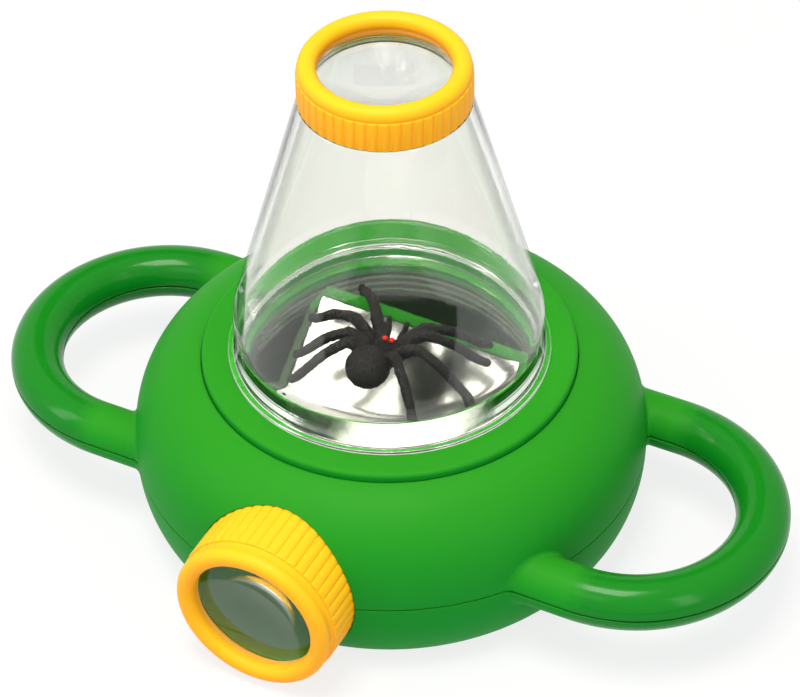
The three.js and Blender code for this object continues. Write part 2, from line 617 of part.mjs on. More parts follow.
function mirrorFrame() {
  const [w, l] = [MIRROR_WIDTH / 2 + GAP, MIRROR_LENGTH / 2 + GAP];
  const [outerW, outerL] = [w + FRAME_BORDER, l + FRAME_BORDER];
  const back = -MIRROR_THICKNESS - GAP;
  const rise = PLATE_BOTTOM - FRAME_TOP_GAP - SPLIT_HEIGHT - MIRROR_MIDDLE_Y;
  const upperEnd = rise * Math.SQRT2 - back - FRAME_RIM; // along the slope from the mirror's middle
  const tray = cut(
    block(-outerW, outerW, -outerL, upperEnd, back - FRAME_BACK, back + FRAME_RIM),
    block(-w, w, -l, l, back, FRAME_RIM),
  );
  const well = disc(WELL_INNER_RADIUS - RUN_GAP, 0, DOME_TOP_HEIGHT);
  const slantedTray = placed(tray, toMirror).intersect(well);
  const floor = SHELL_WALL + GAP;
  const topHeight = SPLIT_HEIGHT + MIRROR_MIDDLE_Y + MIRROR_LENGTH / 4;
  const topY = MIRROR_MIDDLE_Y + MIRROR_LENGTH / 4;
  const behind = (back - FRAME_BACK / 2) * Math.SQRT2; // vertical drop to the middle of the back
  const startY = floor - SPLIT_HEIGHT - behind;
  const outline = new THREE.Shape([
    new THREE.Vector2(startY, floor),
    new THREE.Vector2(topY + 4, floor),
    new THREE.Vector2(topY, topHeight + behind),
  ]);
  const plate = solid(new THREE.ExtrudeGeometry(outline, { depth: BRACKET_THICKNESS, bevelEnabled: false })
    .rotateZ(Math.PI / 2).rotateY(Math.PI / 2).translate(-BRACKET_THICKNESS / 2, 0, 0));
  const brackets = [-1, 1].map((side) => plate.translate([(side * BRACKET_SPACING) / 2, 0, 0]));
  const footLow = SHELL_WALL + FRAME_BOSS_HEIGHT + GAP;
  const feet = framePlaces.map(([x, y]) => cut(
    block(
      x - FOOT_WIDTH / 2 - BRACKET_THICKNESS, x + FOOT_WIDTH / 2 + BRACKET_THICKNESS,
      y - FOOT_LENGTH / 2, y + FOOT_LENGTH / 2,
      footLow, footLow + FOOT_THICKNESS,
    ),
    disc(SCREW_SHANK_RADIUS + GAP, 0, 2 * footLow, SMALL_SEGMENTS).translate([x, y, 0]),
  ));
  return join(slantedTray, ...brackets, ...feet);
}

function screw(underHead, shankLength, headBelow) {
  const way = headBelow ? 1 : -1;
  const heights = [
    underHead - way * SCREW_HEAD_THICKNESS, underHead, underHead + way * shankLength,
  ];
  const slotDepth = SCREW_HEAD_THICKNESS / 2;
  const profile = [
    [0, heights[0]], [SCREW_HEAD_RADIUS - SCREW_HEAD_EDGE, heights[0]],
    [SCREW_HEAD_RADIUS, heights[0] + way * SCREW_HEAD_EDGE],
    [SCREW_HEAD_RADIUS, heights[1]], [SCREW_SHANK_RADIUS, heights[1]],
    [SCREW_SHANK_RADIUS, heights[2] - way * SCREW_POINT_LENGTH], [0, heights[2]],
  ];
  const slotHalf = SCREW_SLOT_WIDTH / 2;
  const slot = block(-SCREW_HEAD_RADIUS, SCREW_HEAD_RADIUS, -slotHalf, slotHalf, -slotDepth, slotDepth)
    .translate([0, 0, heights[0]]);
  return cut(turned(profile, SMALL_SEGMENTS), slot);
}

// Copies of one piece, each a node of its own with a number after its name
function copies(name, manifold, places, look) {
  return atPlaces(manifold, places).map((copy, i) => [`${name}_${i + 1}`, copy, look()]);
}

// Toy spider, built round its front body with +X as its heading, then turned and set down

function egg(length, width, thickness, segments = SMALL_SEGMENTS) {
  return solid(new THREE.SphereGeometry(1, segments, segments / 2).rotateX(Math.PI / 2)
    .scale(length / 2, width / 2, thickness / 2));
}

const ball = (radius) => egg(2 * radius, 2 * radius, 2 * radius);

// Round limb through a few points, with a radius at each
function limb(points, sides = 5) {
  const curve = new THREE.CatmullRomCurve3(points.map(([x, y, z]) => new THREE.Vector3(x, y, z)));
  const radii = points.map((point) => point[3]);
  const steps = points.length + 1;
  const up = new THREE.Vector3(0, 0, 1);
  return swept(Array.from({ length: steps + 1 }, (_, s) => {
    const share = s / steps;
    const middle = curve.getPoint(share);
    const along = curve.getTangent(share);
    const side = new THREE.Vector3().crossVectors(along, up).normalize();
    const over = new THREE.Vector3().crossVectors(side, along);
    const place = Math.min(Math.floor(share * (radii.length - 1)), radii.length - 2);
    const rest = share * (radii.length - 1) - place;
    const swell = s % 2 === 0 ? 1.08 : 0.94;
    const radius = (radii[place] * (1 - rest) + radii[place + 1] * rest) * swell;
    return Array.from({ length: sides }, (_, i) => {
      const angle = (2 * Math.PI * i) / sides;
      return middle.clone()
        .addScaledVector(side, radius * Math.cos(angle))
        .addScaledVector(over, radius * Math.sin(angle)).toArray();
    });
  }));
}

function leg([bearing, share]) {
  const reach = share * LEG_REACH;
  const [x, y] = [Math.cos(radians(bearing)), Math.sin(radians(bearing))];
  const knee = KNEE_HEIGHT - BODY_HEIGHT;
  const sole = FOOT_RADIUS + GAP - BODY_HEIGHT;
  return limb([
    [LEG_ROOT * x, LEG_ROOT * y, 0, LEG_RADIUS],
    [0.42 * reach * x, 0.42 * reach * y, knee, LEG_RADIUS],
    [0.66 * reach * x, 0.66 * reach * y, knee * 0.35, LEG_RADIUS * 0.85],
    [0.9 * reach * x, 0.9 * reach * y, sole * 0.65, FOOT_RADIUS * 1.2],
    [reach * x, reach * y, sole, FOOT_RADIUS],
  ]);
}

const setDown = (manifold) => manifold.rotate([0, 0, SPIDER_HEADING])
  .translate([SPIDER_X, SPIDER_Y, PLATE_TOP + BODY_HEIGHT]);

const headReach = FRONT_BODY_LENGTH / 2 - HEAD_DEPTH;

function toySpider() {
  const palp = (side) => limb([
    [headReach + 0.1 * PALP_REACH, side * PALP_SPREAD, 0, PALP_RADIUS],
    [headReach + 0.5 * PALP_REACH, side * PALP_SPREAD * 1.5, 0.3 * PALP_REACH, PALP_RADIUS],
    [headReach + 0.75 * PALP_REACH, side * PALP_SPREAD * 1.9, 0.6 * PALP_REACH, PALP_RADIUS * 0.8],
  ]);
  const front = egg(FRONT_BODY_LENGTH, FRONT_BODY_WIDTH, FRONT_BODY_THICKNESS);
  const abdomen = egg(ABDOMEN_LENGTH, ABDOMEN_WIDTH, ABDOMEN_THICKNESS, EGG_SEGMENTS)
    .translate([-ABDOMEN_BACK, ABDOMEN_SIDE, ABDOMEN_RISE]);
  const head = ball(HEAD_RADIUS).translate([headReach, 0, HEAD_RISE]);
  return setDown(join(front, abdomen, head, palp(-1), palp(1), ...[...RIGHT_LEGS, ...LEFT_LEGS].map(leg)));
}

function toySpiderEye(side) {
  const way = new THREE.Vector3(0.1, side * 0.26, 0.95);
  way.setLength(HEAD_RADIUS + TOY_EYE_RADIUS + GAP);
  return setDown(ball(TOY_EYE_RADIUS).translate([headReach + way.x, way.y, HEAD_RISE + way.z]));
}

// Nodes

function finish(color, roughness, extra = {}) {
  return { color, roughness, metalness: 0, ...extra };
}

const green = () => finish(0x2f9e33, 0.38);
const yellow = () => finish(0xf9b81c, 0.35);
const clear = () => finish(0xe8eee2, 0.08, { transparent: true, opacity: 0.35 });
const steel = () => finish(0xb9bcc0, 0.3, { metalness: 1 });
const black = () => finish(0x1c1c1b, 0.6);

const [upperShell, lowerShell] = splitShells();
const shellScrewHeight = POST_WEB_HEIGHT - GAP;
const frameScrewHeight = SHELL_WALL + FRAME_BOSS_HEIGHT + FOOT_THICKNESS + 2 * GAP;

const nodes = [
  ['upper_shell', upperShell, green()],
  ['lower_shell', lowerShell, green()],
  ['chamber_ring', chamberRing(), green()],
  ['specimen_floor', specimenFloor(), clear()],
  ['viewing_cone', viewingCone(), clear()],
  ['top_eyepiece_ring', placed(topRing(), toTop), yellow()],
  ['top_lens', placed(lens(), toTop), clear()],
  ['side_eyepiece_ring', placed(sideRing(), toSide), yellow()],
  ['side_lens', placed(lens(), toSide), clear()],
  ['side_barrel', placed(sideBarrel(), toSide), green()],
  ['mirror', mirror(), finish(0xdfe3e6, 0.05, { metalness: 1 })],
  ['mirror_frame', mirrorFrame(), green()],
  ...copies('shell_screw', screw(shellScrewHeight, SCREW_SHANK_LENGTH, true), postPlaces, steel),
  ...copies('frame_screw', screw(frameScrewHeight, FRAME_SCREW_LENGTH, false), framePlaces, steel),
  ['toy_spider', toySpider(), black()],
  ['toy_spider_eye_right', toySpiderEye(-1), finish(0xc8201c, 0.3)],
  ['toy_spider_eye_left', toySpiderEye(1), finish(0xc8201c, 0.3)],
];

const viewer = new THREE.Group();
for (const [name, manifold, look] of nodes) {
  const mesh = new THREE.Mesh(geometryOf(manifold), new THREE.MeshStandardMaterial(look));
  mesh.name = name;
  viewer.add(mesh);
}

export default viewer;
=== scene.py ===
# %% [markdown]
# # A bug viewer, dressed in Blender
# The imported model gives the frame: metres, +Z up, the table at height 0, the side eyepiece
# looking out along -Y. Every piece below is made in its final place, so its object stays at the
# origin, unturned and unscaled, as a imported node's does. Sizes are written in millimetres, as on
# a drawing, and turned into metres where a mesh is made.

import math

import bmesh
import bpy
import numpy as np
from mathutils import Matrix, Vector


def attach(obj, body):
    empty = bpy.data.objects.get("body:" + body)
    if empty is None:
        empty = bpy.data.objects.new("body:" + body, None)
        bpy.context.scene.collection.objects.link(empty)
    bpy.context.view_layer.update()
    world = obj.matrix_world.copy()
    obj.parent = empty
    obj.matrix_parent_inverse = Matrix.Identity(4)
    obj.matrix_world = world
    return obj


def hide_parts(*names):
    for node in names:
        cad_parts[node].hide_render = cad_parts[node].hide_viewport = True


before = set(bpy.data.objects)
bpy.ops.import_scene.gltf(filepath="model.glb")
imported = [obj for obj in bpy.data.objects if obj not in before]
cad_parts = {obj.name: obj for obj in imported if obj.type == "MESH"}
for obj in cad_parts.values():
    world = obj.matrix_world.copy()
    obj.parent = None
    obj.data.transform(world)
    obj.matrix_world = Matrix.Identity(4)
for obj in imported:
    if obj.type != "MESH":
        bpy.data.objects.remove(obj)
scene = bpy.context.scene
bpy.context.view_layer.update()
MM = 0.001

# %% [markdown]
# ## The camera
# The photograph was fitted once: its camera stands to the right of the side eyepiece and
# looks down at about 42 degrees from almost a metre away. A long lens keeps the two
# eyepieces nearly free of perspective. The small shift puts the lens axis where the photograph
# has it.

# %% Camera at the photograph's place
PHOTO_WIDTH, PHOTO_HEIGHT = 800, 697
FOCAL_PIXELS = 3629.09
LENS_AXIS = (389.80, 347.49)
EYE = Vector((314.51, -602.61, 654.37)) * MM
AZIMUTH, ELEVATION, ROLL = (math.radians(v) for v in (27.558, 41.640, -1.0595))

back = Vector((math.sin(AZIMUTH) * math.cos(ELEVATION),
               -math.cos(AZIMUTH) * math.cos(ELEVATION), math.sin(ELEVATION)))
level = Vector((math.cos(AZIMUTH), math.sin(AZIMUTH), 0))
upright = back.cross(level)
across = level * math.cos(ROLL) + upright * math.sin(ROLL)
above = upright * math.cos(ROLL) - level * math.sin(ROLL)

lens_data = bpy.data.cameras.new("photo_camera")
lens_data.sensor_fit = "HORIZONTAL"
lens_data.sensor_width = 36
lens_data.lens = FOCAL_PIXELS / PHOTO_WIDTH * lens_data.sensor_width
lens_data.shift_x = (PHOTO_WIDTH / 2 - LENS_AXIS[0]) / PHOTO_WIDTH
lens_data.shift_y = (LENS_AXIS[1] - PHOTO_HEIGHT / 2) / PHOTO_WIDTH
lens_data.clip_start, lens_data.clip_end = 0.01, 20
camera = bpy.data.objects.new("photo_camera", lens_data)
camera.matrix_world = Matrix((
    (across.x, above.x, back.x, EYE.x),
    (across.y, above.y, back.y, EYE.y),
    (across.z, above.z, back.z, EYE.z),
    (0, 0, 0, 1),
))
scene.collection.objects.link(camera)
scene.camera = camera
print("lens", round(lens_data.lens, 2), "mm")

# %% [markdown]
# ## Small helpers for turned and swept shapes
# Nearly every moulding here is turned: a closed outline of (radius, height) spun about an axis.
# Real mouldings have no knife edges, so an outline's corner can carry a third number, the radius
# of its rounding. A screw modifier could spin a curve, but writing the rings directly gives
# closed seams and poles that need no cleaning.

# %% Rounded outlines
def eased(corners, steps=5):
    """Outline of (radius, height) points with every corner that carries a third number rounded."""
    outline = []
    count = len(corners)
    for i, corner in enumerate(corners):
        here = np.array(corner[:2], float)
        ease = corner[2] if len(corner) > 2 else 0
        if ease <= 0:
            outline.append(here)
            continue
        before = np.array(corners[i - 1][:2], float) - here
        after = np.array(corners[(i + 1) % count][:2], float) - here
        one, two = before / np.linalg.norm(before), after / np.linalg.norm(after)
        half = math.acos(np.clip(one @ two, -1, 1)) / 2
        if half > math.radians(88):
            outline.append(here)
            continue
        shorter = min(np.linalg.norm(before), np.linalg.norm(after))
        reach = min(ease / math.tan(half), 0.48 * shorter)
        ease = reach * math.tan(half)
        middle = here + (one + two) / np.linalg.norm(one + two) * ease / math.sin(half)
        start, end = here + one * reach - middle, here + two * reach - middle
        turn = math.acos(np.clip(start @ end / ease ** 2, -1, 1))
        for k in range(steps + 1):
            share = k / steps
            outline.append(middle + (start * math.sin((1 - share) * turn)
                                     + end * math.sin(share * turn)) / math.sin(turn))
    return [tuple(point) for point in outline]


# %% Meshes from points, turned rings and swept sections
def make_piece(name, points, faces, turn=None):
    """New mesh object from points in millimetres, with its faces pointing outwards."""
    mesh = bpy.data.meshes.new(name)
    points = np.asarray(points, float)
    if turn is not None:
        points = points @ np.array(turn[0]).T + np.array(turn[1])
    mesh.from_pydata((points * MM).tolist(), [], faces)
    worker = bmesh.new()
    worker.from_mesh(mesh)
    bmesh.ops.remove_doubles(worker, verts=worker.verts, dist=1e-7)
    bmesh.ops.recalc_face_normals(worker, faces=worker.faces)
    worker.to_mesh(mesh)
    worker.free()
    piece = bpy.data.objects.new(name, mesh)
    scene.collection.objects.link(piece)
    return piece


def turned(name, outline, segments=128, turn=None):
    """Closed outline spun about Z. One that starts and ends at radius 0 is closed by the axis."""
    outline = np.array(outline, float)
    angles = np.arange(segments) * 2 * math.pi / segments
    on_axis = outline[0, 0] < 1e-9 and outline[-1, 0] < 1e-9
    rings = np.stack([
        outline[:, :1] * np.cos(angles), outline[:, :1] * np.sin(angles),
        np.repeat(outline[:, 1:2], segments, axis=1),
    ], axis=2).reshape(-1, 3)
    faces = []
    last = len(outline) - 1 if on_axis else len(outline)
    for i in range(last):
        j = (i + 1) % len(outline)
        for k in range(segments):
            n = (k + 1) % segments
            corner = [i * segments + k, i * segments + n, j * segments + n, j * segments + k]
            if on_axis and i == 0:
                corner = [0, j * segments + n, j * segments + k]
            elif on_axis and j == len(outline) - 1:
                corner = [i * segments + k, i * segments + n, j * segments]
            faces.append(corner)
    return make_piece(name, rings, faces, turn)


def swept(name, sections):
    """Skin over closed sections with equally many points, capped at both ends."""
    sections = np.array(sections, float)
    rows, count = sections.shape[:2]
    faces = []
    for i in range(rows - 1):
        for k in range(count):
            n = (k + 1) % count
            faces.append([i * count + k, i * count + n, (i + 1) * count + n, (i + 1) * count + k])
    faces.append(list(range(count - 1, -1, -1)))
    faces.append([(rows - 1) * count + k for k in range(count)])
    return make_piece(name, sections.reshape(-1, 3), faces)


def rod(name, radius, low, high, segments=64, ease=0.0, turn=None):
    """Round bar along Z with eased ends."""
    return turned(name, eased([(0, low), (radius, low, ease), (radius, high, ease), (0, high)]),
                  segments, turn)


# %% Blocks and eased edges
def bevelled(piece, width, segments=3):
    """Rounds the edges that are sharper than 40 degrees."""
    step = piece.modifiers.new("ease", "BEVEL")
    step.width = width * MM
    step.segments = segments
    step.limit_method = "ANGLE"
    step.angle_limit = math.radians(40)
    depsgraph = bpy.context.evaluated_depsgraph_get()
    mesh = bpy.data.meshes.new_from_object(piece.evaluated_get(depsgraph))
    piece.modifiers.remove(step)
    piece.data = mesh
    return piece


def slab(name, low, high, ease=0.0):
    """Block with its edges eased by a bevel."""
    (x0, y0, z0), (x1, y1, z1) = low, high
    points = [(x, y, z) for x in (x0, x1) for y in (y0, y1) for z in (z0, z1)]
    faces = [(0, 1, 3, 2), (4, 6, 7, 5), (0, 4, 5, 1), (2, 3, 7, 6), (0, 2, 6, 4), (1, 5, 7, 3)]
    piece = make_piece(name, points, faces)
    return bevelled(piece, ease) if ease else piece


# %% Cutting, joining and smoothing
def combined(piece, others, operation):
    """Joins, cuts or crosses piece with the others, which are used up."""
    for other in others:
        step = piece.modifiers.new("combine", "BOOLEAN")
        step.operation = operation
        step.solver = "MANIFOLD"
        step.object = other
        depsgraph = bpy.context.evaluated_depsgraph_get()
        result = bpy.data.meshes.new_from_object(piece.evaluated_get(depsgraph))
        piece.modifiers.remove(step)
        piece.data = result
        bpy.data.objects.remove(other)
    return piece


def joined(piece, *others):
    return combined(piece, others, "UNION")


def cut(piece, *others):
    return combined(piece, others, "DIFFERENCE")


def crossed(piece, other):
    return combined(piece, [other], "INTERSECT")


def smoothed(piece, degrees=32):
    """Smooth shading that keeps every edge sharper than the angle."""
    mesh = piece.data
    mesh.shade_smooth()
    mesh.set_sharp_from_angle(angle=math.radians(degrees))
    return piece


def set_on(piece, body, *nodes, material=None):
    """Gives a piece its material and the body it rides on, and hides the nodes it stands for."""
    if material is not None:
        piece.data.materials.clear()
        piece.data.materials.append(material)
    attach(piece, body)
    if nodes:
        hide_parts(*nodes)
    print(piece.name, len(piece.data.polygons), "faces on", body)
    return piece


# %% [markdown]
# ## Wiring nodes
# Materials and Geometry Nodes are both trees of nodes whose sockets are joined by links. Written
# out in full, each link takes a line, so a few small helpers make a node and feed its inputs in
# one go: an input is either a plain value, or a pair that names another node and its output.

# %% Helpers that make and feed nodes
def feed(tree, node, inputs):
    """Sets inputs of a node: to a plain value, or joined to (other node, output)."""
    for socket, value in inputs.items():
        if isinstance(value, tuple) and isinstance(value[0], bpy.types.Node):
            tree.links.new(value[0].outputs[value[1]], node.inputs[socket])
        else:
            node.inputs[socket].default_value = value


def new_node(tree, kind, **inputs):
    """New node, with its inputs by name. Their names are written with _ for a space."""
    node = tree.nodes.new(kind)
    feed(tree, node, {name.replace("_", " "): value for name, value in inputs.items()})
    return node


def maths(tree, operation, *values):
    """Math node that works on the values in their order."""
    node = tree.nodes.new("ShaderNodeMath")
    node.operation = operation
    feed(tree, node, dict(enumerate(values)))
    return node


# %% Mixes and the sockets of a group
def mixed_colour(tree, factor, one, other, blend="MIX"):
    """Colour mix. Its type comes first, because it decides which of the sockets are there."""
    node = tree.nodes.new("ShaderNodeMix")
    node.data_type, node.blend_type = "RGBA", blend
    feed(tree, node, {"Factor": factor, "A": one, "B": other})
    return node


def mixed_shader(tree, factor, one, other):
    """Shader mix that shows one at factor 0 and the other at factor 1."""
    node = tree.nodes.new("ShaderNodeMixShader")
    feed(tree, node, {"Fac": factor, 1: one, 2: other})
    return node


def add_sockets(tree, way, sockets):
    """Gives a group its named inputs or outputs, each with a kind and perhaps a first value."""
    for name, (kind, *first) in sockets.items():
        socket = tree.interface.new_socket(name=name, in_out=way, socket_type="NodeSocket" + kind)
        if first:
            socket.default_value = first[0]


# %% [markdown]
# ## Finishes
# The viewer is made of four plastics: leaf green and warm yellow mouldings with a satin skin,
# clear crystal plastic, and the spider's dark soft plastic. A moulding is never perfectly even,
# so one shared group makes its faint orange-peel and its clouds of slightly different tone and
# gloss. It also paints shade into the colour: what faces down gets a darker colour as painted
# shade. Each material places the group with its own values.

# %% A shared group for moulded skin and painted shade
def moulded_skin_and_shade():
    """Node group: colour with painted shade by slope and clouds, roughness and orange-peel height.
    """
    tree = bpy.data.node_groups.new("moulded_skin_and_shade", "ShaderNodeTree")
    add_sockets(tree, "INPUT", {
        "Colour": ("Color", (0.5, 0.5, 0.5, 1)), "Cloud And Shade Colour": ("Color", (0.4, 0.4, 0.4, 1)),
        "Roughness": ("Float", 0.35), "Roughness Spread": ("Float", 0.08),
        "Peel Scale": ("Float", 900.0), "Cloud Scale": ("Float", 22.0)})
    add_sockets(tree, "OUTPUT", {"Colour": ("Color",), "Roughness": ("Float",),
                                 "Height": ("Float",)})
    given = tree.nodes.new("NodeGroupInput")
    where = tree.nodes.new("ShaderNodeTexCoord")
    clouds = new_node(tree, "ShaderNodeTexNoise", Vector=(where, "Object"),
                      Scale=(given, "Cloud Scale"), Detail=3)
    split = new_node(tree, "ShaderNodeSeparateXYZ", Vector=(where, "Normal"))
    # Painted shade: faces that look up get the plain colour, faces that look down the darker one.
    slope = new_node(tree, "ShaderNodeMapRange", Value=(split, "Z"), From_Min=-0.5, From_Max=0.9,
                     To_Min=1.1, To_Max=-0.15)
    depth = maths(tree, "MULTIPLY_ADD", (clouds, "Fac"), 0.3, (slope, "Result"))
    depth.use_clamp = True
    tone = mixed_colour(tree, (depth, "Value"), (given, "Colour"), (given, "Cloud And Shade Colour"))
    gloss = maths(tree, "MULTIPLY_ADD", (clouds, "Fac"), (given, "Roughness Spread"),
                  (given, "Roughness"))
    peel = new_node(tree, "ShaderNodeTexNoise", Vector=(where, "Object"),
                    Scale=(given, "Peel Scale"), Detail=2)
    new_node(tree, "NodeGroupOutput", Colour=(tone, "Result"), Roughness=(gloss, "Value"),
             Height=(peel, "Fac"))
    return tree


SKIN_AND_SHADE_GROUP = moulded_skin_and_shade()
print("skin group:", len(SKIN_AND_SHADE_GROUP.nodes), "nodes")

# %% A material with that skin
def skinned(name, roughness, spread, peel, bump, depth):
    """Material that takes its roughness and a bump, depth metres high, from the shared skin."""
    material = bpy.data.materials.new(name)
    material.use_nodes = True
    tree = material.node_tree
    skin = tree.nodes.new("ShaderNodeGroup")
    skin.node_tree = SKIN_AND_SHADE_GROUP
    feed(tree, skin, {"Roughness": roughness, "Roughness Spread": spread, "Peel Scale": peel})
    relief = new_node(tree, "ShaderNodeBump", Strength=bump, Distance=depth,
                      Height=(skin, "Height"))
    feed(tree, tree.nodes["Principled BSDF"], {"Roughness": (skin, "Roughness"),
                                               "Normal": (relief, "Normal")})
    return material


# %% Opaque plastics
PEEL_DEPTH = 0.0005


def linear(red, green, blue):
    """Colour given as 0 to 255 values of a picture, as the linear values a shader wants."""
    def one(v):
        v /= 255
        return v / 12.92 if v <= 0.04045 else ((v + 0.055) / 1.055) ** 2.4
    return (one(red), one(green), one(blue), 1)


def plastic(name, colour, deep, roughness, peel=900.0, bump=0.03, specular=0.5):
    """Satin moulding whose colour comes from the shared skin, with painted shade below."""
    spread = 0.08
    material = skinned(name, roughness - spread / 2, spread, peel, bump, PEEL_DEPTH)
    tree = material.node_tree
    skin = tree.nodes["Group"]
    feed(tree, skin, {"Colour": colour, "Cloud And Shade Colour": deep})
    feed(tree, tree.nodes["Principled BSDF"], {
        "Base Color": (skin, "Colour"), "Specular IOR Level": specular, "Coat Roughness": 0.12})
    return material


# The second colour of each is the painted shade that the faces looking down get.
GREEN = plastic("green_moulding", linear(42, 147, 30), linear(0, 135, 36), 0.50, specular=0.08)
YELLOW = plastic("yellow_moulding", linear(255, 202, 30), linear(252, 167, 8), 0.48, specular=0.2)
DARK = plastic("spider_skin", linear(16, 15, 14), linear(5, 5, 5), 0.6, peel=2600.0, bump=0.9,
               specular=0.4)
RED = plastic("eye_paint", linear(215, 30, 20), linear(190, 20, 15), 0.2, bump=0.0)
print("plastics:", GREEN.name, YELLOW.name, DARK.name, RED.name)

# %% The handles are polished by hands, and their green is painted darker as painted shade
POLISH_START, POLISH_FULL = 66.0, 72.0
POLISH_ROUGHNESS, POLISH_COAT, HANDLE_SHADE_TONE = -0.3, 0.16, (0.35, 0.78, 0.82, 1)


def polish_and_shade_handles(material):
    """Lowers roughness, paints shade on the green, adds a clear skin where |X| is past the body."""
    tree = material.node_tree
    shader, skin = tree.nodes["Principled BSDF"], tree.nodes["Group"]
    where = tree.nodes.new("ShaderNodeTexCoord")
    split = new_node(tree, "ShaderNodeSeparateXYZ", Vector=(where, "Object"))
    reach = maths(tree, "ABSOLUTE", (split, "X"))
    share = new_node(tree, "ShaderNodeMapRange", Value=(reach, "Value"),
                     From_Min=POLISH_START * MM, From_Max=POLISH_FULL * MM)
    smoother = maths(tree, "MULTIPLY_ADD", (share, "Result"), POLISH_ROUGHNESS,
                     (skin, "Roughness"))
    clear_skin = maths(tree, "MULTIPLY", (share, "Result"), POLISH_COAT)
    # Painted shade: the handles' green is multiplied darker than the dome's.
    tone = mixed_colour(tree, (share, "Result"), (skin, "Colour"), HANDLE_SHADE_TONE, "MULTIPLY")
    feed(tree, shader, {"Roughness": (smoother, "Value"), "Coat Weight": (clear_skin, "Value"),
                        "Base Color": (tone, "Result")})


polish_and_shade_handles(GREEN)
print("polished from", POLISH_START, "to", POLISH_FULL, "mm out")

# %% Zinc-plated screws and the mirror's silver
def metal(name, colour, roughness, spread, peel=3000.0, bump=0.05):
    """Bare metal of one colour, so that colour stands on the shader's own socket."""
    material = skinned(name, roughness - spread / 2, spread, peel, bump, PEEL_DEPTH)
    feed(material.node_tree, material.node_tree.nodes["Principled BSDF"],
         {"Base Color": colour, "Metallic": 1})
    return material


ZINC = metal("zinc_plating", (0.62, 0.63, 0.65, 1), 0.3, 0.1)
# The mirror is a thin silvered sheet, so it is a little wavy: slow bumps bend what it shows.
SILVER = metal("mirror_silver", (0.98, 0.99, 0.965, 1), 0.13, 0.05, peel=34.0, bump=1.0)
MIRROR_LEAN = 7.8


def leaned(material, degrees):
    """Turns the shown surface a little towards +X, as of a sheet that lies twisted in its tray."""
    tree = material.node_tree
    where = tree.nodes.new("ShaderNodeTexCoord")
    split = new_node(tree, "ShaderNodeSeparateXYZ", Vector=(where, "Object"))
    ramp = maths(tree, "MULTIPLY", (split, "X"), -math.tan(math.radians(degrees)))
    lean = new_node(tree, "ShaderNodeBump", Strength=1, Distance=1, Height=(ramp, "Value"))
    feed(tree, tree.nodes["Bump"], {"Normal": (lean, "Normal")})


leaned(SILVER, MIRROR_LEAN)
print("metals:", ZINC.name, SILVER.name)

# %% [markdown]
# Clear plastic bends light as glass does. A plain glass shader would keep nearly all lamp light
# out of the chamber, because a lamp's rays aren't followed through it. So its shadow rays meet
# a see-through shader instead: the wall still bends and mirrors what the camera sees, and the
# spider inside gets its light. The wall is also let through where it is seen nearly edge on, since
# a thin wall's rim would otherwise gather everything round it into a heavy dark line.

# %% Clear plastic
SHADOW_LEFT = 0.84
RIM_START, RIM_FULL, RIM_SHARE = 0.7, 0.9, 0.9


def clear_plastic(name, tint, roughness=0.02, index=1.5, bump=0.1, specular=0.5):
    """Clear moulding with a faint ripple, see-through for shadow rays and at its rim."""
    material = skinned(name, roughness, 0.015, 330.0, bump, 0.0001)
    tree = material.node_tree
    shader = tree.nodes["Principled BSDF"]
    feed(tree, shader, {"Base Color": tint, "Transmission Weight": 1, "IOR": index,
                        "Specular IOR Level": specular})
    through = new_node(tree, "ShaderNodeBsdfTransparent",
                       Color=(SHADOW_LEFT, SHADOW_LEFT, SHADOW_LEFT, 1))
    path = tree.nodes.new("ShaderNodeLightPath")
    facing = new_node(tree, "ShaderNodeLayerWeight", Blend=0.5)
    rim = new_node(tree, "ShaderNodeMapRange", Value=(facing, "Facing"), From_Min=RIM_START,
                   From_Max=RIM_FULL, To_Max=RIM_SHARE)
    either = maths(tree, "MAXIMUM", (path, "Is Shadow Ray"), (rim, "Result"))
    choose = mixed_shader(tree, (either, "Value"), (shader, "BSDF"), (through, "BSDF"))
    feed(tree, tree.nodes["Material Output"], {"Surface": (choose, "Shader")})
    return material


CRYSTAL = clear_plastic("crystal_plastic", (0.976, 0.974, 0.935, 1), index=1.45, specular=0.3)
FLOOR_CLEAR = clear_plastic("floor_plastic", (0.995, 0.995, 0.98, 1), specular=0.3)
LENS = clear_plastic("lens_plastic", (0.99, 1.0, 0.985, 1), roughness=0.0, bump=0.0)
print("clear:", CRYSTAL.name, LENS.name)

# %% [markdown]
# ## The two shells
# The body is a squashed ball: its outline above and below the parting line follows two
# superellipses. The upper shell carries a recess for the chamber ring and half of each handle;
# the lower one is a tub with a flat underside. Each shell is turned from one closed outline with
# its true wall, so its edges are rounded and the parting line is a real groove.

# %% Outlines of the body
BODY_RADIUS, PARTING, WALL = 65.2, 22.5, 2.4
DOME_FLAT, DOME_RISE, DOME_POWER = 38.5, 27.1, 2.35
TUB_INNER, TUB_DEPTH, TUB_POWER = 37.9, 29.1, 2.19
HALF_LINE = 0.15
LINE_EASE = 0.22


def superellipse(share, power):
    """Height of a superellipse of size 1 at a share of its width."""
    return (1 - share ** power) ** (1 / power)


def dome_radius(height, inset=0.0):
    share = np.clip((height - PARTING) / (DOME_RISE - inset), 0, 1)
    return DOME_FLAT + (BODY_RADIUS - inset - DOME_FLAT) * superellipse(share, DOME_POWER)


def dome_height(radius, inset=0.0):
    share = np.clip((radius - DOME_FLAT) / (BODY_RADIUS - inset - DOME_FLAT), 0, 1)
    return PARTING + (DOME_RISE - inset) * superellipse(share, DOME_POWER)


def tub_radius(height):
    share = np.clip((PARTING - height) / TUB_DEPTH, 0, 1)
    return TUB_INNER + (BODY_RADIUS - TUB_INNER) * superellipse(share, TUB_POWER)


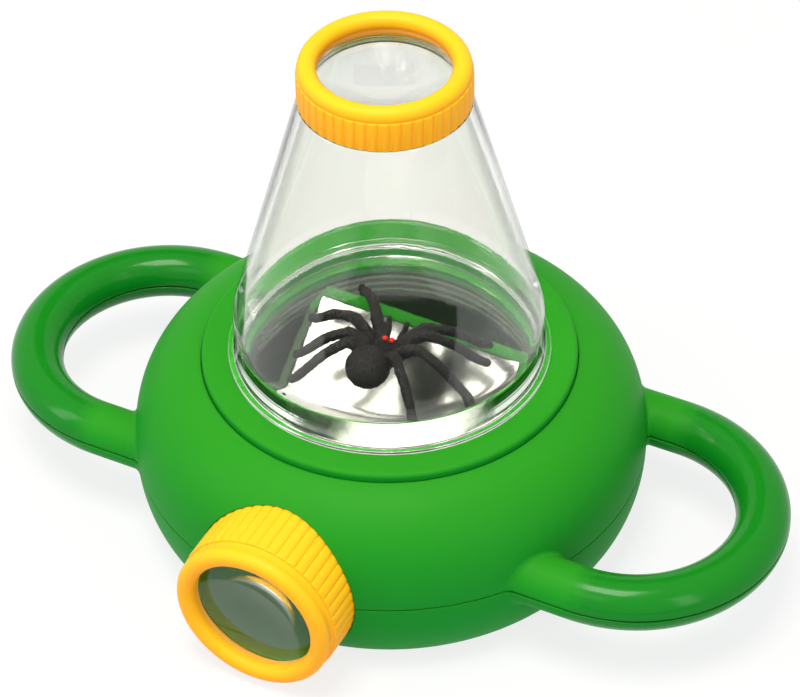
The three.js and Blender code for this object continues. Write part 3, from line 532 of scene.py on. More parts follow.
def dome_curve(low, inner, inset=0.0, steps=44):
    """Points from height low on the dome's flank up to the radius inner."""
    points = []
    for i in range(1, steps):
        angle = math.pi / 2 * i / steps
        radius = DOME_FLAT + (BODY_RADIUS - inset - DOME_FLAT) * math.cos(angle) ** (2 / DOME_POWER)
        height = PARTING + (DOME_RISE - inset) * math.sin(angle) ** (2 / DOME_POWER)
        if height > low + 0.7 and radius > inner + 0.7:
            points.append((radius, height))
    return points


SEAT_HEIGHT, SEAT_THICKNESS = 46.6, 2.4
RING_RADIUS, RING_CLEARANCE, OPENING_RADIUS = 46.9, 0.4, 41.5
rim = RING_RADIUS + RING_CLEARANCE
seat_outer = RING_RADIUS + WALL
upper_low = PARTING + HALF_LINE
inner_low = float(dome_radius(upper_low, WALL))
upper_outline = eased([
    (float(dome_radius(upper_low)), upper_low, LINE_EASE),
    *dome_curve(upper_low, rim),
    (rim, float(dome_height(rim)), 0.55),
    (rim, SEAT_HEIGHT, 0.2),
    (OPENING_RADIUS, SEAT_HEIGHT, 0.3),
    (OPENING_RADIUS, SEAT_HEIGHT - SEAT_THICKNESS, 0.3),
    (seat_outer, SEAT_HEIGHT - SEAT_THICKNESS),
    (seat_outer, float(dome_height(seat_outer, WALL))),
    *reversed(dome_curve(upper_low, seat_outer, WALL, 20)),
    (inner_low, upper_low),
])
print("upper outline:", len(upper_outline), "points")

# %% Outline of the tub
lower_high = PARTING - HALF_LINE
BASE_EASE = 2.2
flank = [(float(tub_radius(h)), h) for h in np.linspace(1.4, lower_high - 0.8, 26)]
tub_inner = [(float(tub_radius(h)) - WALL, h) for h in np.linspace(WALL + 1.5, lower_high, 12)]
lower_outline = [
    (0, 0),
    *eased([
        (20.0, 0), (float(tub_radius(0)) - 0.4, 0, BASE_EASE), *flank,
        (float(tub_radius(lower_high)), lower_high, LINE_EASE),
        *reversed(tub_inner),
        (float(tub_radius(WALL)) - WALL - 1, WALL, 1.0), (20.0, WALL),
    ]),
    (0, WALL),
]
# The same two shapes without their hollows, to trim what is set into them.
upper_form = [(0, upper_low), (float(dome_radius(upper_low)), upper_low),
              *dome_curve(upper_low, DOME_FLAT), (DOME_FLAT, PARTING + DOME_RISE),
              (0, PARTING + DOME_RISE)]
lower_form = [(0, 0), (float(tub_radius(0)) - 0.4, 0), *flank,
              (float(tub_radius(lower_high)), lower_high), (0, lower_high)]
print("lower outline:", len(lower_outline), "points")

# %% [markdown]
# ## Loop handles
# Each handle is a round tube bent to a half circle, with two short legs that run square into the
# body. It is split at the parting line like the shells, so each half is swept with a D-shaped
# section. Near the body the section swells along a quarter circle: that is the small fillet that
# a mould leaves where the leg meets the dome.

# %% Half handles with their fillets
TUBE_RADIUS, BEND_RADIUS, BEND_X = 6.86, 32.7, 67.2
FILLET = 1.3
BEND_STEPS, FILLET_STEPS = 56, 6
HANDLE_LINE, HANDLE_LINE_EASE = 0.24, 0.5


def body_reach(y, z):
    """How far along X the body's surface lies at a height and a distance from the middle plane."""
    radius = dome_radius(z) if z > PARTING else tub_radius(z)
    return math.sqrt(max(float(radius) ** 2 - y ** 2, 0))


def handle_half(side, upper):
    """Upper or lower half of one handle, with the rows of its legs seated on the body."""
    way = 1 if upper else -1
    start = math.asin(HANDLE_LINE / TUBE_RADIUS)
    bow = [(TUBE_RADIUS * math.cos(a), TUBE_RADIUS * math.sin(a))
           for a in np.linspace(start, math.pi - start, 31)]
    edge = TUBE_RADIUS * math.cos(start)
    section = np.array(eased([(edge, HANDLE_LINE, HANDLE_LINE_EASE), *bow[1:-1],
                              (-edge, HANDLE_LINE, HANDLE_LINE_EASE)], 3))

    def ring(origin, out, grow=0.0):
        scale = 1 + grow / TUBE_RADIUS
        return [(origin[0] + out[0] * a * scale, origin[1] + out[1] * a * scale,
                 PARTING + way * (HANDLE_LINE + (b - HANDLE_LINE) * scale)) for a, b in section]

    def seated(leg, grow, stand):
        points = []
        for _, y, z in ring((0, leg * BEND_RADIUS), (0, leg), grow):
            points.append((body_reach(y, z) + stand, y, z))
        return points

    def leg_rows(leg):
        rows = [seated(leg, FILLET - 0.15, -0.5)]
        for i in range(FILLET_STEPS + 1):
            angle = math.pi / 2 * i / FILLET_STEPS
            rows.append(seated(leg, FILLET * (1 - math.sin(angle)), FILLET * (1 - math.cos(angle))))
        root = np.array(rows[-1])
        for share in (0.35, 0.7):
            row = root.copy()
            row[:, 0] = row[:, 0] * (1 - share) + BEND_X * share
            rows.append(row.tolist())
        return rows

    rows = leg_rows(-1)
    for i in range(BEND_STEPS + 1):
        angle = math.pi * (i / BEND_STEPS - 0.5)
        out = (math.cos(angle), math.sin(angle))
        rows.append(ring((BEND_X + BEND_RADIUS * out[0], BEND_RADIUS * out[1]), out))
    rows += reversed(leg_rows(1))
    rows = np.array(rows, float)
    rows[:, :, 0] *= side
    return swept("handle", rows)


# %% [markdown]
# ## Pocket, posts and screw wells
# The side eyepiece sinks into a round pocket in the dome, and four posts inside the body take the
# screws from below. They are plain cuts and joins, so booleans make them, with fine cylinders
# that keep the edges clean.

# %% Build both shells
POCKET_RADIUS, POCKET_WALL, POCKET_FLOOR, SLEEVE_END = 21.3, 2.05, -50.0, -43.2
BARREL_HOLE = 18.9
POST_RADIUS, POST_TOP, SCREW_WELL, WEB_HEIGHT = 4.6, 43.0, 3.1, 12.0
SHANK_HOLE, SHANK_DEPTH = 1.55, 22.5
POST_CIRCLE = BODY_RADIUS - 15.2
POST_PLACES = [(POST_CIRCLE * math.cos(a), POST_CIRCLE * math.sin(a))
               for a in np.radians([45, 135, 225, 315])]
BOSS_X, BOSS_Y, BOSS_RADIUS, BOSS_RISE = 25.7, 14.0, 3.6, 3.4
LIE_ALONG_Y = ((1, 0, 0), (0, 0, -1), (0, 1, 0))
SMOOTH_ROUND = 192


def side_rod(name, radius, near, far):
    """Round bar on the side eyepiece's axis between two values of Y."""
    return rod(name, radius, 0, far - near, 128, 0, (LIE_ALONG_Y, (0, far, PARTING)))


def standing_rod(radius, place, low, high, segments=32):
    """Upright round bar at a place (x, y) between two heights."""
    return rod("post", radius, low, high, segments, 0, (np.eye(3), (*place, 0)))


def shell(name, outline, form, upper):
    """One shell: its turned wall, handle halves, pocket and posts, with the holes cut last."""
    piece = turned(name, outline, SMOOTH_ROUND)
    for side in (-1, 1):
        joined(piece, handle_half(side, upper))
    sleeve = side_rod("sleeve", POCKET_RADIUS + POCKET_WALL, -BODY_RADIUS, SLEEVE_END)
    joined(piece, crossed(sleeve, turned("form", form, SMOOTH_ROUND)))
    post_low, post_high = (upper_low, POST_TOP) if upper else (0.6, lower_high)
    for place in POST_PLACES:
        joined(piece, standing_rod(POST_RADIUS, place, post_low, post_high))
    if not upper:
        for side in (-1, 1):
            joined(piece, standing_rod(BOSS_RADIUS, (side * BOSS_X, BOSS_Y), 1.0, WALL + BOSS_RISE))
    cut(piece, side_rod("pocket", POCKET_RADIUS, -BODY_RADIUS - 2, POCKET_FLOOR))
    cut(piece, side_rod("bore", BARREL_HOLE, POCKET_FLOOR - 1, SLEEVE_END + 1))
    for place in POST_PLACES:
        if not upper:
            cut(piece, standing_rod(SCREW_WELL, place, -1, WEB_HEIGHT))
        cut(piece, standing_rod(SHANK_HOLE, place, 0.5, WEB_HEIGHT + SHANK_DEPTH, 20))
    return smoothed(piece)


set_on(shell("dome", upper_outline, upper_form, True), "base", "upper_shell", material=GREEN)
set_on(shell("tub", lower_outline, lower_form, False), "base", "lower_shell", material=GREEN)

# %% [markdown]
# ## Chamber ring and specimen floor
# A green ring sits in the dome's opening and stands two millimetres proud of it, which makes the
# dark groove round the chamber. Below it, the well's back wall has three low ledges. The well is
# painted a duller, darker green than the outside as painted shade, because little light gets
# there. The clear floor lies on the ring's inner step.

# %% Chamber ring
chamber_outline = eased([
    (35.4, 42.5, 0.4), (37.2, 42.5, 0.4), (37.2, 44.2, 0.2), (41.1, 44.2, 0.2),
    (41.1, 46.9, 0.1), (47.2, 46.9, 0.3), (47.2, 50.65, 1.1), (37.8, 50.65, 0.35),
    (37.8, 46.6, 0.1), (35.4, 46.6, 0.4),
])
chamber_ring = turned("plateau_ring", chamber_outline, SMOOTH_ROUND)
WALL_INNER, WALL_OUTER, WALL_LOW, WALL_HIGH = 35.55, 37.05, 35.3, 43.3
LEDGE_PITCH, LEDGE_DEPTH, LEDGE_TOP, LEDGE_GAP = 2.4, 0.8, 41.9, 1.2
back_wall = [(WALL_INNER, WALL_LOW, 0.2), (WALL_OUTER, WALL_LOW, 0.2),
             (WALL_OUTER, WALL_HIGH), (WALL_INNER, WALL_HIGH)]
for i in range(3):
    top = LEDGE_TOP - LEDGE_PITCH * i
    back_wall += [(WALL_INNER, top, 0.15), (WALL_INNER + LEDGE_DEPTH, top, 0.15),
                  (WALL_INNER + LEDGE_DEPTH, top - LEDGE_GAP, 0.15),
                  (WALL_INNER, top - LEDGE_GAP, 0.15)]
# Only the back half has this wall, because the side eyepiece looks in through the front.
joined(chamber_ring, crossed(turned("back_wall", eased(back_wall, 3), SMOOTH_ROUND),
                             slab("behind", (-60, -0.15, 20), (60, 60, 60))))
set_on(smoothed(chamber_ring), "base", "chamber_ring", material=GREEN)

# %% The well's painted shade, and the clear floor
def repainted(piece, material, wanted):
    """Gives a second material to the faces whose middle, in millimetres, is wanted."""
    piece.data.materials.append(material)
    count = 0
    for face in piece.data.polygons:
        if wanted(*(face.center / MM)):
            face.material_index = len(piece.data.materials) - 1
            count += 1
    return count


# Painted shade: a darker, duller green for the well and the tray's shaded part.
SHADE_PAINTED_GREEN = plastic("green_painted_shade", linear(92, 128, 90), linear(6, 26, 12), 0.5,
                     specular=0.12)
WELL_REACH, WELL_BELOW = 38.5, 44.5
print("faces in the well:", repainted(
    chamber_ring, SHADE_PAINTED_GREEN, lambda x, y, z: math.hypot(x, y) < WELL_REACH and z < WELL_BELOW))
FLOOR_RADIUS, FLOOR_LOW, FLOOR_TOP = 37.5, 46.9, 48.5
floor_outline = eased([(0, FLOOR_LOW), (FLOOR_RADIUS, FLOOR_LOW, 0.35),
                       (FLOOR_RADIUS, FLOOR_TOP, 0.35), (0, FLOOR_TOP)])
specimen_floor = smoothed(turned("clear_floor", floor_outline, 128))
set_on(specimen_floor, "base", "specimen_floor", material=FLOOR_CLEAR)

# %% [markdown]
# ## Viewing cone
# One clear moulding: a spigot that drops into the chamber ring, a thin flange that rests on it, a
# straight skirt, the cone and a threaded neck. On the inside, the wall gets thicker below a small
# step near the top of the skirt; that step is the bright double line in the photograph.

# %% Screw threads
def thread(name, radius, outward, lead, turns, start_turn, start_height):
    """Helical ridge of a trapezoid section that fades out at both ends."""
    rows = []
    steps = round(turns * 64)
    for i in range(steps + 1):
        at = start_turn + turns * i / steps
        angle = 2 * math.pi * at
        taper = min(1, i / 6, (steps - i) / 6) * 0.85 + 0.05
        root, crest = radius - outward * 0.3, radius + outward * taper
        rows.append([(r * math.cos(angle), r * math.sin(angle), start_height + lead * at + z)
                     for r, z in ((root, -0.4), (crest, -0.2), (crest, 0.2), (root, 0.4))])
    return swept(name, rows)


# %% The cone
CONE_SLOPE, SHOULDER_HEIGHT, SHOULDER_RADIUS, CONE_WALL = 0.2736, 129.1, 20.9, 1.9
FLANGE_LOW, FLANGE_RADIUS, SKIRT_RADIUS, SPIGOT_RADIUS = 50.95, 40.5, 39.0, 37.5
NECK_RADIUS, NECK_WALL, NECK_TOP, SEAM_HEIGHT = 18.6, 1.4, 132.4, 59.8


def cone_radius(height):
    return SHOULDER_RADIUS + CONE_SLOPE * (SHOULDER_HEIGHT - height)


bend_height = SHOULDER_HEIGHT - (SKIRT_RADIUS - SHOULDER_RADIUS) / CONE_SLOPE
cone_outline = eased([
    (SPIGOT_RADIUS - 1.2, 48.8, 0.3), (SPIGOT_RADIUS, 48.8, 0.3), (SPIGOT_RADIUS, FLANGE_LOW, 0.1),
    (FLANGE_RADIUS, FLANGE_LOW, 0.3), (FLANGE_RADIUS, FLANGE_LOW + 1, 0.4),
    (SKIRT_RADIUS, FLANGE_LOW + 1, 0.5), (SKIRT_RADIUS, bend_height, 12.0),
    (SHOULDER_RADIUS, SHOULDER_HEIGHT, 0.4), (NECK_RADIUS, SHOULDER_HEIGHT, 0.2),
    (NECK_RADIUS, NECK_TOP, 0.3), (NECK_RADIUS - NECK_WALL, NECK_TOP, 0.3),
    (NECK_RADIUS - NECK_WALL, SHOULDER_HEIGHT, 0.6),
    (SHOULDER_RADIUS - CONE_WALL, SHOULDER_HEIGHT - CONE_WALL, 0.6),
    (cone_radius(bend_height + 3) - CONE_WALL, bend_height + 3, 8.0),
    (cone_radius(SEAM_HEIGHT) - CONE_WALL, SEAM_HEIGHT, 0.3),
    (cone_radius(SEAM_HEIGHT) - CONE_WALL - 0.7, SEAM_HEIGHT - 0.7, 0.3),
    (SPIGOT_RADIUS - 1.2, FLANGE_LOW, 0.4),
], 6)
cone = turned("clear_cone", cone_outline, 160)
joined(cone, thread("neck_thread", NECK_RADIUS, 1, 2.0, 1, 0, SHOULDER_HEIGHT + 0.8))
set_on(smoothed(cone), "chamber", "viewing_cone", material=CRYSTAL)

# %% [markdown]
# ## Ribbed eyepiece rings
# Both eyepieces are the same moulding with a longer or shorter skirt: a fat rounded lip, a hollow
# for the lens, and forty-eight low ribs to grip. The ring is turned. The ribs repeat, so Geometry
# Nodes set one rib on every point of a circle, turn it outwards and make the copies real.

# %% Geometry Nodes that set copies round a circle
def ring_of_copies():
    """Tree: copies of an object on a circle, facing outwards, joined to what the modifier gets."""
    tree = bpy.data.node_groups.new("ring_of_copies", "GeometryNodeTree")
    add_sockets(tree, "INPUT", {
        "Geometry": ("Geometry",), "Copy": ("Object",), "Count": ("Int",),
        "Circle Radius": ("Float",), "First Angle": ("Float",), "Material": ("Material",)})
    add_sockets(tree, "OUTPUT", {"Geometry": ("Geometry",)})
    given = tree.nodes.new("NodeGroupInput")
    index = tree.nodes.new("GeometryNodeInputIndex")
    share = maths(tree, "DIVIDE", 2 * math.pi, (given, "Count"))
    angle = maths(tree, "MULTIPLY_ADD", (index, "Index"), (share, "Value"), (given, "First Angle"))
    start = new_node(tree, "ShaderNodeCombineXYZ", X=(given, "Circle Radius"))
    spin = tree.nodes.new("ShaderNodeVectorRotate")
    spin.rotation_type = "Z_AXIS"
    feed(tree, spin, {"Vector": (start, "Vector"), "Angle": (angle, "Value")})
    points = new_node(tree, "GeometryNodePoints", Count=(given, "Count"),
                      Position=(spin, "Vector"))
    where = tree.nodes.new("GeometryNodeInputPosition")
    face = tree.nodes.new("FunctionNodeAlignRotationToVector")
    face.axis, face.pivot_axis = "X", "Z"
    feed(tree, face, {"Vector": (where, "Position")})
    model = new_node(tree, "GeometryNodeObjectInfo", Object=(given, "Copy"))
    place = new_node(tree, "GeometryNodeInstanceOnPoints", Points=(points, "Geometry"),
                     Instance=(model, "Geometry"), Rotation=(face, "Rotation"))
    real = new_node(tree, "GeometryNodeRealizeInstances", Geometry=(place, "Instances"))
    both = new_node(tree, "GeometryNodeJoinGeometry", Geometry=(given, "Geometry"))
    feed(tree, both, {"Geometry": (real, "Geometry")})
    paint = new_node(tree, "GeometryNodeSetMaterial", Geometry=(both, "Geometry"),
                     Material=(given, "Material"))
    new_node(tree, "NodeGroupOutput", Geometry=(paint, "Geometry"))
    return tree


RING_OF_COPIES = ring_of_copies()
print("copies tree:", len(RING_OF_COPIES.nodes), "nodes")

# %% Running the tree
def socket_id(tree, name):
    """A modifier's input is set by the socket's identifier, which this finds by its name."""
    return next(item.identifier for item in tree.interface.items_tree
                if item.item_type == "SOCKET" and item.name == name and item.in_out == "INPUT")


def with_copies(piece, copy, count, radius, material, first=0.0):
    """Runs the tree on piece and keeps the result as a plain mesh."""
    step = piece.modifiers.new("copies", "NODES")
    step.node_group = RING_OF_COPIES
    for name, value in (("Copy", copy), ("Count", count), ("Circle Radius", radius * MM),
                        ("First Angle", first), ("Material", material)):
        step[socket_id(RING_OF_COPIES, name)] = value
    depsgraph = bpy.context.evaluated_depsgraph_get()
    mesh = bpy.data.meshes.new_from_object(piece.evaluated_get(depsgraph))
    piece.modifiers.remove(step)
    piece.data = mesh
    bpy.data.objects.remove(copy)
    return piece


# %% One rib and the two rings
EYE_RING_RADIUS, LIP_RADIUS, LIP_ROUND, EYE_RADIUS = 21.1, 18.4, 2.35, 16.3
LENS_SEAT, LENS_RADIUS, BORE_RADIUS, RIB_COUNT = 2.2, 17.4, 19.9, 48
GROOVE_FLOOR = 20.72
RIB_WIDTH = 2.68


def rib(length, rib_start):
    """Low bar along Z that stands on the circle's point and faces +X."""
    half, top, base = RIB_WIDTH / 2, EYE_RING_RADIUS - GROOVE_FLOOR, -0.4

    def section(z, lift):
        crown = [(top * lift * (1 - abs(t) ** 2.6) ** 0.8, half * t)
                 for t in (-1, -0.93, -0.8, -0.55, 0, 0.55, 0.8, 0.93, 1)]
        return [(x, y, z) for x, y in [(base, -half), *crown, (base, half)]]

    return swept("rib", [
        section(-length + 0.02, 0.7), section(-length + 0.2, 1.0),
        section(-rib_start - 0.5, 1.0), section(-rib_start - 0.22, 0.86),
        section(-rib_start, 0.3),
    ])


# Painted light: the bore is a lighter orange, for the light that comes through the thin wall.
BORE_PAINTED_GLOW = plastic("yellow_painted_glow", linear(255, 184, 84), linear(255, 172, 74), 0.4,
                      specular=0.2)
NECK_DEPTH, BORE_BELOW, BORE_REACH = 5.3, -0.9, EYE_RADIUS + 0.4


def eyepiece_ring(name, skirt, rib_start, turn, threads, body, node):
    """Ribbed ring with its lip at height 0 and its skirt below, turned to its place at the end."""
    lip_end = math.asin(min(rib_start, LIP_ROUND / 2) / LIP_ROUND)
    lip = [(LIP_RADIUS + LIP_ROUND * math.cos(a), LIP_ROUND * math.sin(a))
           for a in np.linspace(-lip_end, math.pi, 25)]
    collar = lip[0][0]
    outline = eased([
        (BORE_RADIUS, -skirt, 0.2), (GROOVE_FLOOR, -skirt, 0.1),
        (GROOVE_FLOOR, -rib_start + 0.05, 0.1), (collar, -rib_start + 0.05, 0.15),
        *lip, (LIP_RADIUS - LIP_ROUND, -0.3), (EYE_RADIUS, -1.2, 0.5),
        (EYE_RADIUS, -LENS_SEAT, 0.15), (LENS_RADIUS + 0.3, -LENS_SEAT),
        (LENS_RADIUS + 0.3, -NECK_DEPTH), (BORE_RADIUS, -NECK_DEPTH),
    ], 4)
    ring = turned(name, outline, SMOOTH_ROUND)
    joined(ring, thread("thread", BORE_RADIUS, -1, *threads))
    with_copies(ring, rib(skirt, rib_start), RIB_COUNT, GROOVE_FLOOR, YELLOW, math.pi / RIB_COUNT)
    print(name, "faces in its bore:", repainted(
        ring, BORE_PAINTED_GLOW, lambda x, y, z: math.hypot(x, y) < BORE_REACH and z < BORE_BELOW))
    ring.data.transform(turn)
    return set_on(smoothed(ring, 28), body, node)


TOP_LIP, SIDE_LIP = 138.0, 74.2
to_top = Matrix.Translation((0, 0, TOP_LIP * MM))
to_side = (Matrix.Translation((0, -SIDE_LIP * MM, PARTING * MM))
           @ Matrix.Rotation(math.pi / 2, 4, "X"))
eyepiece_ring("top_ring", 8.7, 0.8, to_top, (2.0, 0.45, 0.5, -9.1),
              "top_ring", "top_eyepiece_ring")
eyepiece_ring("side_ring", 22.7, 3.1, to_side, (3.0, 1.0, 0.5, -20.2),
              "side_ring", "side_eyepiece_ring")

# %% [markdown]
# ## Lenses
# Each ring holds a magnifying lens with two gently curved faces behind its lip. The one at the
# side is fuller, which pulls the picture in the mirror together.

# %% Lenses
LENS_EDGE, LENS_TOP = 1.3, -2.5


def lens_outline(bulge, belly, steps=14):
    """Outline of a lens whose faces rise by bulge above its edge and by belly below it."""
    low = LENS_TOP - LENS_EDGE
    shares = [i / steps for i in range(steps)]
    under = [(LENS_RADIUS * share, low - belly * (1 - share ** 2)) for share in shares]
    over = [(LENS_RADIUS * share, LENS_TOP + bulge * (1 - share ** 2)) for share in shares]
    return [*under, (LENS_RADIUS, low), (LENS_RADIUS, LENS_TOP), *reversed(over)]


for name, body, node, turn, bulge, belly in (
        ("top_glass", "top_lens_cell", "top_lens", to_top, 1.5, 1.5),
        ("side_glass", "side_lens_cell", "side_lens", to_side, 1.6, 2.6)):
    lens = turned(name, lens_outline(bulge, belly), 128)
    lens.data.transform(turn)
    set_on(smoothed(lens), body, node, material=LENS)

# %% [markdown]
# ## Side barrel, mirror and its tray
# The side eyepiece screws onto a threaded tube that both shells clamp. Behind it, a silvered
# mirror lies at 45 degrees under the clear floor, in a green tray on two feet. The mirror is a
# thin sheet whose lower edge curls up a little, as such a sheet does in a loose tray.

# %% Side barrel
barrel_outline = eased([
    (17.2, -30.2, 0.3), (18.6, -30.2, 0.3), (18.6, -28.5), (21.1, -28.5, 0.2), (21.1, -26.5, 0.2),
    (18.6, -26.5), (18.6, -5.6, 0.3), (17.2, -5.6, 0.3),
])
barrel = turned("barrel", barrel_outline, 128)
joined(barrel, thread("barrel_thread", NECK_RADIUS, 1, 3.0, 2, 0, -18.7))
barrel.data.transform(to_side)
set_on(smoothed(barrel), "base", "side_barrel", material=GREEN)

# %% Mirror
MIRROR_Y = 2.0
MIRROR_WIDTH, MIRROR_LENGTH, MIRROR_THICKNESS, FIT = 58.0, 45.4, 2.0, 0.3
half_w, half_l = MIRROR_WIDTH / 2, MIRROR_LENGTH / 2
to_mirror = (Matrix.Translation((0, MIRROR_Y * MM, (PARTING + MIRROR_Y) * MM))
             @ Matrix.Rotation(math.pi / 4, 4, "X"))
MIRROR_CURL, MIRROR_SHEET, MIRROR_EDGE = 2.2, 1.2, 0.2


def curled_sheet(name, steps=32):
    """Thin sheet, flat above and curled up a little along its lower edge."""
    section = [(-half_w, -MIRROR_SHEET), (half_w, -MIRROR_SHEET), (half_w, -MIRROR_EDGE),
               (half_w - MIRROR_EDGE, 0), (MIRROR_EDGE - half_w, 0), (-half_w, -MIRROR_EDGE)]
    rows = []
    for v in np.linspace(-1, 1, steps + 1):
        rise = MIRROR_CURL * (max(0.0, -v - 0.2) / 0.8) ** 2
        rows.append([(x, v * half_l, z + rise) for x, z in section])
    return swept(name, rows)


silver = curled_sheet("silvered_sheet")
silver.data.transform(to_mirror)
set_on(smoothed(silver, 30), "base", "mirror", material=SILVER)

# %% The mirror's tray on its feet
TRAY_RIM, TRAY_SIDE, TRAY_END = 2.0, 2.6, 25.72
WELL_RADIUS, TRAY_TOP = 35.0, 49
FOOT_LENGTH, FOOT_WIDTH, FOOT_LOW, FOOT_HIGH = 12.0, 13.8, 6.1, 8.3
tray_back = -MIRROR_THICKNESS - FIT
inner_w, inner_l = half_w + FIT, half_l + FIT
tray = slab("mirror_tray", (-inner_w - TRAY_RIM, -inner_l - TRAY_RIM, tray_back - TRAY_RIM),
            (inner_w + TRAY_RIM, TRAY_END, tray_back + TRAY_SIDE))
cut(tray, slab("hollow", (-inner_w, -inner_l, tray_back), (inner_w, inner_l, 3)))
tray.data.transform(to_mirror)
crossed(tray, rod("well", WELL_RADIUS, 0, TRAY_TOP, 128))
for side in (-1, 1):
    x, y = side * BOSS_X, BOSS_Y
    foot = slab("foot", (x - FOOT_WIDTH / 2, y - FOOT_LENGTH / 2, FOOT_LOW),
                (x + FOOT_WIDTH / 2, y + FOOT_LENGTH / 2, FOOT_HIGH))
    cut(foot, standing_rod(SHANK_HOLE, (x, y), 5, 10, 20))
    web = [(side * 20.0 + dx, y, z) for dx in (-1.2, 1.2)
           for y, z in ((-15.13, 2.7), (17.35, 2.7), (13.35, 31.18))]
    joined(tray, foot, make_piece("web", web, [(0, 1, 2), (5, 4, 3), (0, 3, 4, 1), (1, 4, 5, 2),
                                               (2, 5, 3, 0)]))
bevelled(tray, 0.35, 2)

# %% The tray's shaded part
# Its walls and feet lie in the body's shade and get a darker green as painted shade; only its
# upper bar catches the light. A cut along the line gives whole faces on either side of it.
SHADE_TOP = 38.0
worker = bmesh.new()
worker.from_mesh(tray.data)
bmesh.ops.bisect_plane(worker, geom=[*worker.verts, *worker.edges, *worker.faces],
                       dist=1e-6, plane_co=(0, 0, SHADE_TOP * MM), plane_no=(0, 0, 1))
worker.to_mesh(tray.data)
worker.free()
set_on(smoothed(tray, 40), "base", "mirror_frame", material=GREEN)
print("faces in the shade:", repainted(tray, SHADE_PAINTED_GREEN, lambda x, y, z: z < SHADE_TOP))

# %% [markdown]
# ## Screws
# Four screws pull the shells together from below and two hold the tray. A screw is turned, its
# cross recess is cut in, and the same Geometry Nodes tree sets the copies round their circle.

# %% Screws
def screw(shank):
    """Screw that points up, with the underside of its head at height 0."""
    outline = eased([(0, -1.8), (1.6, -1.8, 0.4), (2.8, -0.9, 0.5), (2.8, 0, 0.15), (1.25, 0),
                     (1.25, shank - 1.5), (0, shank)], 3)
    piece = turned("screw", outline, 32)
    for angle in (0, math.pi / 2):
        blade = slab("blade", (-1.5, -0.35, -3), (1.5, 0.35, -0.9))
        blade.data.transform(Matrix.Rotation(angle, 4, "Z"))
        cut(piece, blade)
    return piece


def set_of_screws(name, one, count, radius, height, first, nodes):
    """One piece of several screws on a circle whose centre is at a height (y, z)."""
    holder = bpy.data.objects.new(name, bpy.data.meshes.new(name))
    scene.collection.objects.link(holder)
    with_copies(holder, one, count, radius, ZINC, first)
    holder.data.transform(Matrix.Translation((0, height[0] * MM, height[1] * MM)))
    set_on(smoothed(holder), "base", *nodes)


set_of_screws("shell_screws", screw(22), 4, POST_CIRCLE, (0, WEB_HEIGHT - FIT), math.pi / 4,
              [f"shell_screw_{i}" for i in (1, 2, 3, 4)])
tray_screw = screw(5)
tray_screw.data.transform(Matrix.Rotation(math.pi, 4, "X"))
set_of_screws("tray_screws", tray_screw, 2, BOSS_X, (BOSS_Y, FOOT_HIGH + FIT), 0,
              ["frame_screw_1", "frame_screw_2"])

# %% [markdown]
# ## The toy spider
# A soft dark moulding stands on the clear floor. Its body and legs are separate tubes and eggs
# that a voxel remesh melts into one skin, as the real one is cast in one piece, and a fine noise
# moves the skin in and out so that it looks velvety. The legs follow smooth curves through a hip,
# a knee, a shin and a foot.

# %% Spider body and legs
SPIDER_PLACE, SPIDER_HEADING = (2.2, -7.2), 90.0
BODY_HEIGHT = 6.3
RIGHT_LEGS = [(-44, 1.11), (-58, 1.02), (-92, 0.99), (-133, 0.88)]
LEFT_LEGS = [(38, 1.26), (70, 1.1), (101, 0.92), (125, 0.93)]
LEG_REACH, KNEE_HEIGHT = 25.0, 11.5
HEAD_REACH, HEAD_RISE = 1.9, -0.2


def egg(name, size, place, rings=24):
    """Egg of a length, width and thickness, set at a place."""
    length, width, thickness = size
    outline = [(math.sin(a), -math.cos(a)) for a in (math.pi * i / rings for i in range(rings + 1))]
    outline[0], outline[-1] = (0, -1), (0, 1)
    piece = turned(name, outline, 2 * rings)
    piece.data.transform(Matrix.Translation(Vector(place) * MM)
                         @ Matrix.Diagonal((length / 2, width / 2, thickness / 2, 1)))
    return piece


def curve_through(knots, steps):
    """Smooth run of (x, y, z, radius) through the knots."""
    knots = np.array(knots, float)
    padded = np.vstack([2 * knots[0] - knots[1], knots, 2 * knots[-1] - knots[-2]])
    run = []
    for i in range(len(knots) - 1):
        a, b, c, d = padded[i:i + 4]
        for t in np.linspace(0, 1, steps, endpoint=False):
            run.append(0.5 * (2 * b + (c - a) * t + (2 * a - 5 * b + 4 * c - d) * t ** 2
                              + (3 * b - a - 3 * c + d) * t ** 3))
    run.append(knots[-1])
    return np.array(run)


def limb(name, knots, sides=16, steps=8):
    """Round limb with blunt ends along a smooth curve."""
    run = curve_through(knots, steps)
    way = np.gradient(run[:, :3], axis=0)
    way /= np.linalg.norm(way, axis=1)[:, None]
    ends = [(-0.85, 0.45), (-0.5, 0.85)]
    stations = [(run[0, :3] + way[0] * run[0, 3] * d, way[0], run[0, 3] * r) for d, r in ends]
    stations += [(p[:3], w, p[3]) for p, w in zip(run, way)]
    stations += [(run[-1, :3] - way[-1] * run[-1, 3] * d, way[-1], run[-1, 3] * r)
                 for d, r in reversed(ends)]
    rows = []
    for middle, along, radius in stations:
        side = np.cross(along, (0, 0, 1.0))
        side /= np.linalg.norm(side)
        over = np.cross(side, along)
        rows.append([middle + radius * (side * math.cos(a) + over * math.sin(a))
                     for a in np.arange(sides) * 2 * math.pi / sides])
    return swept(name, rows)


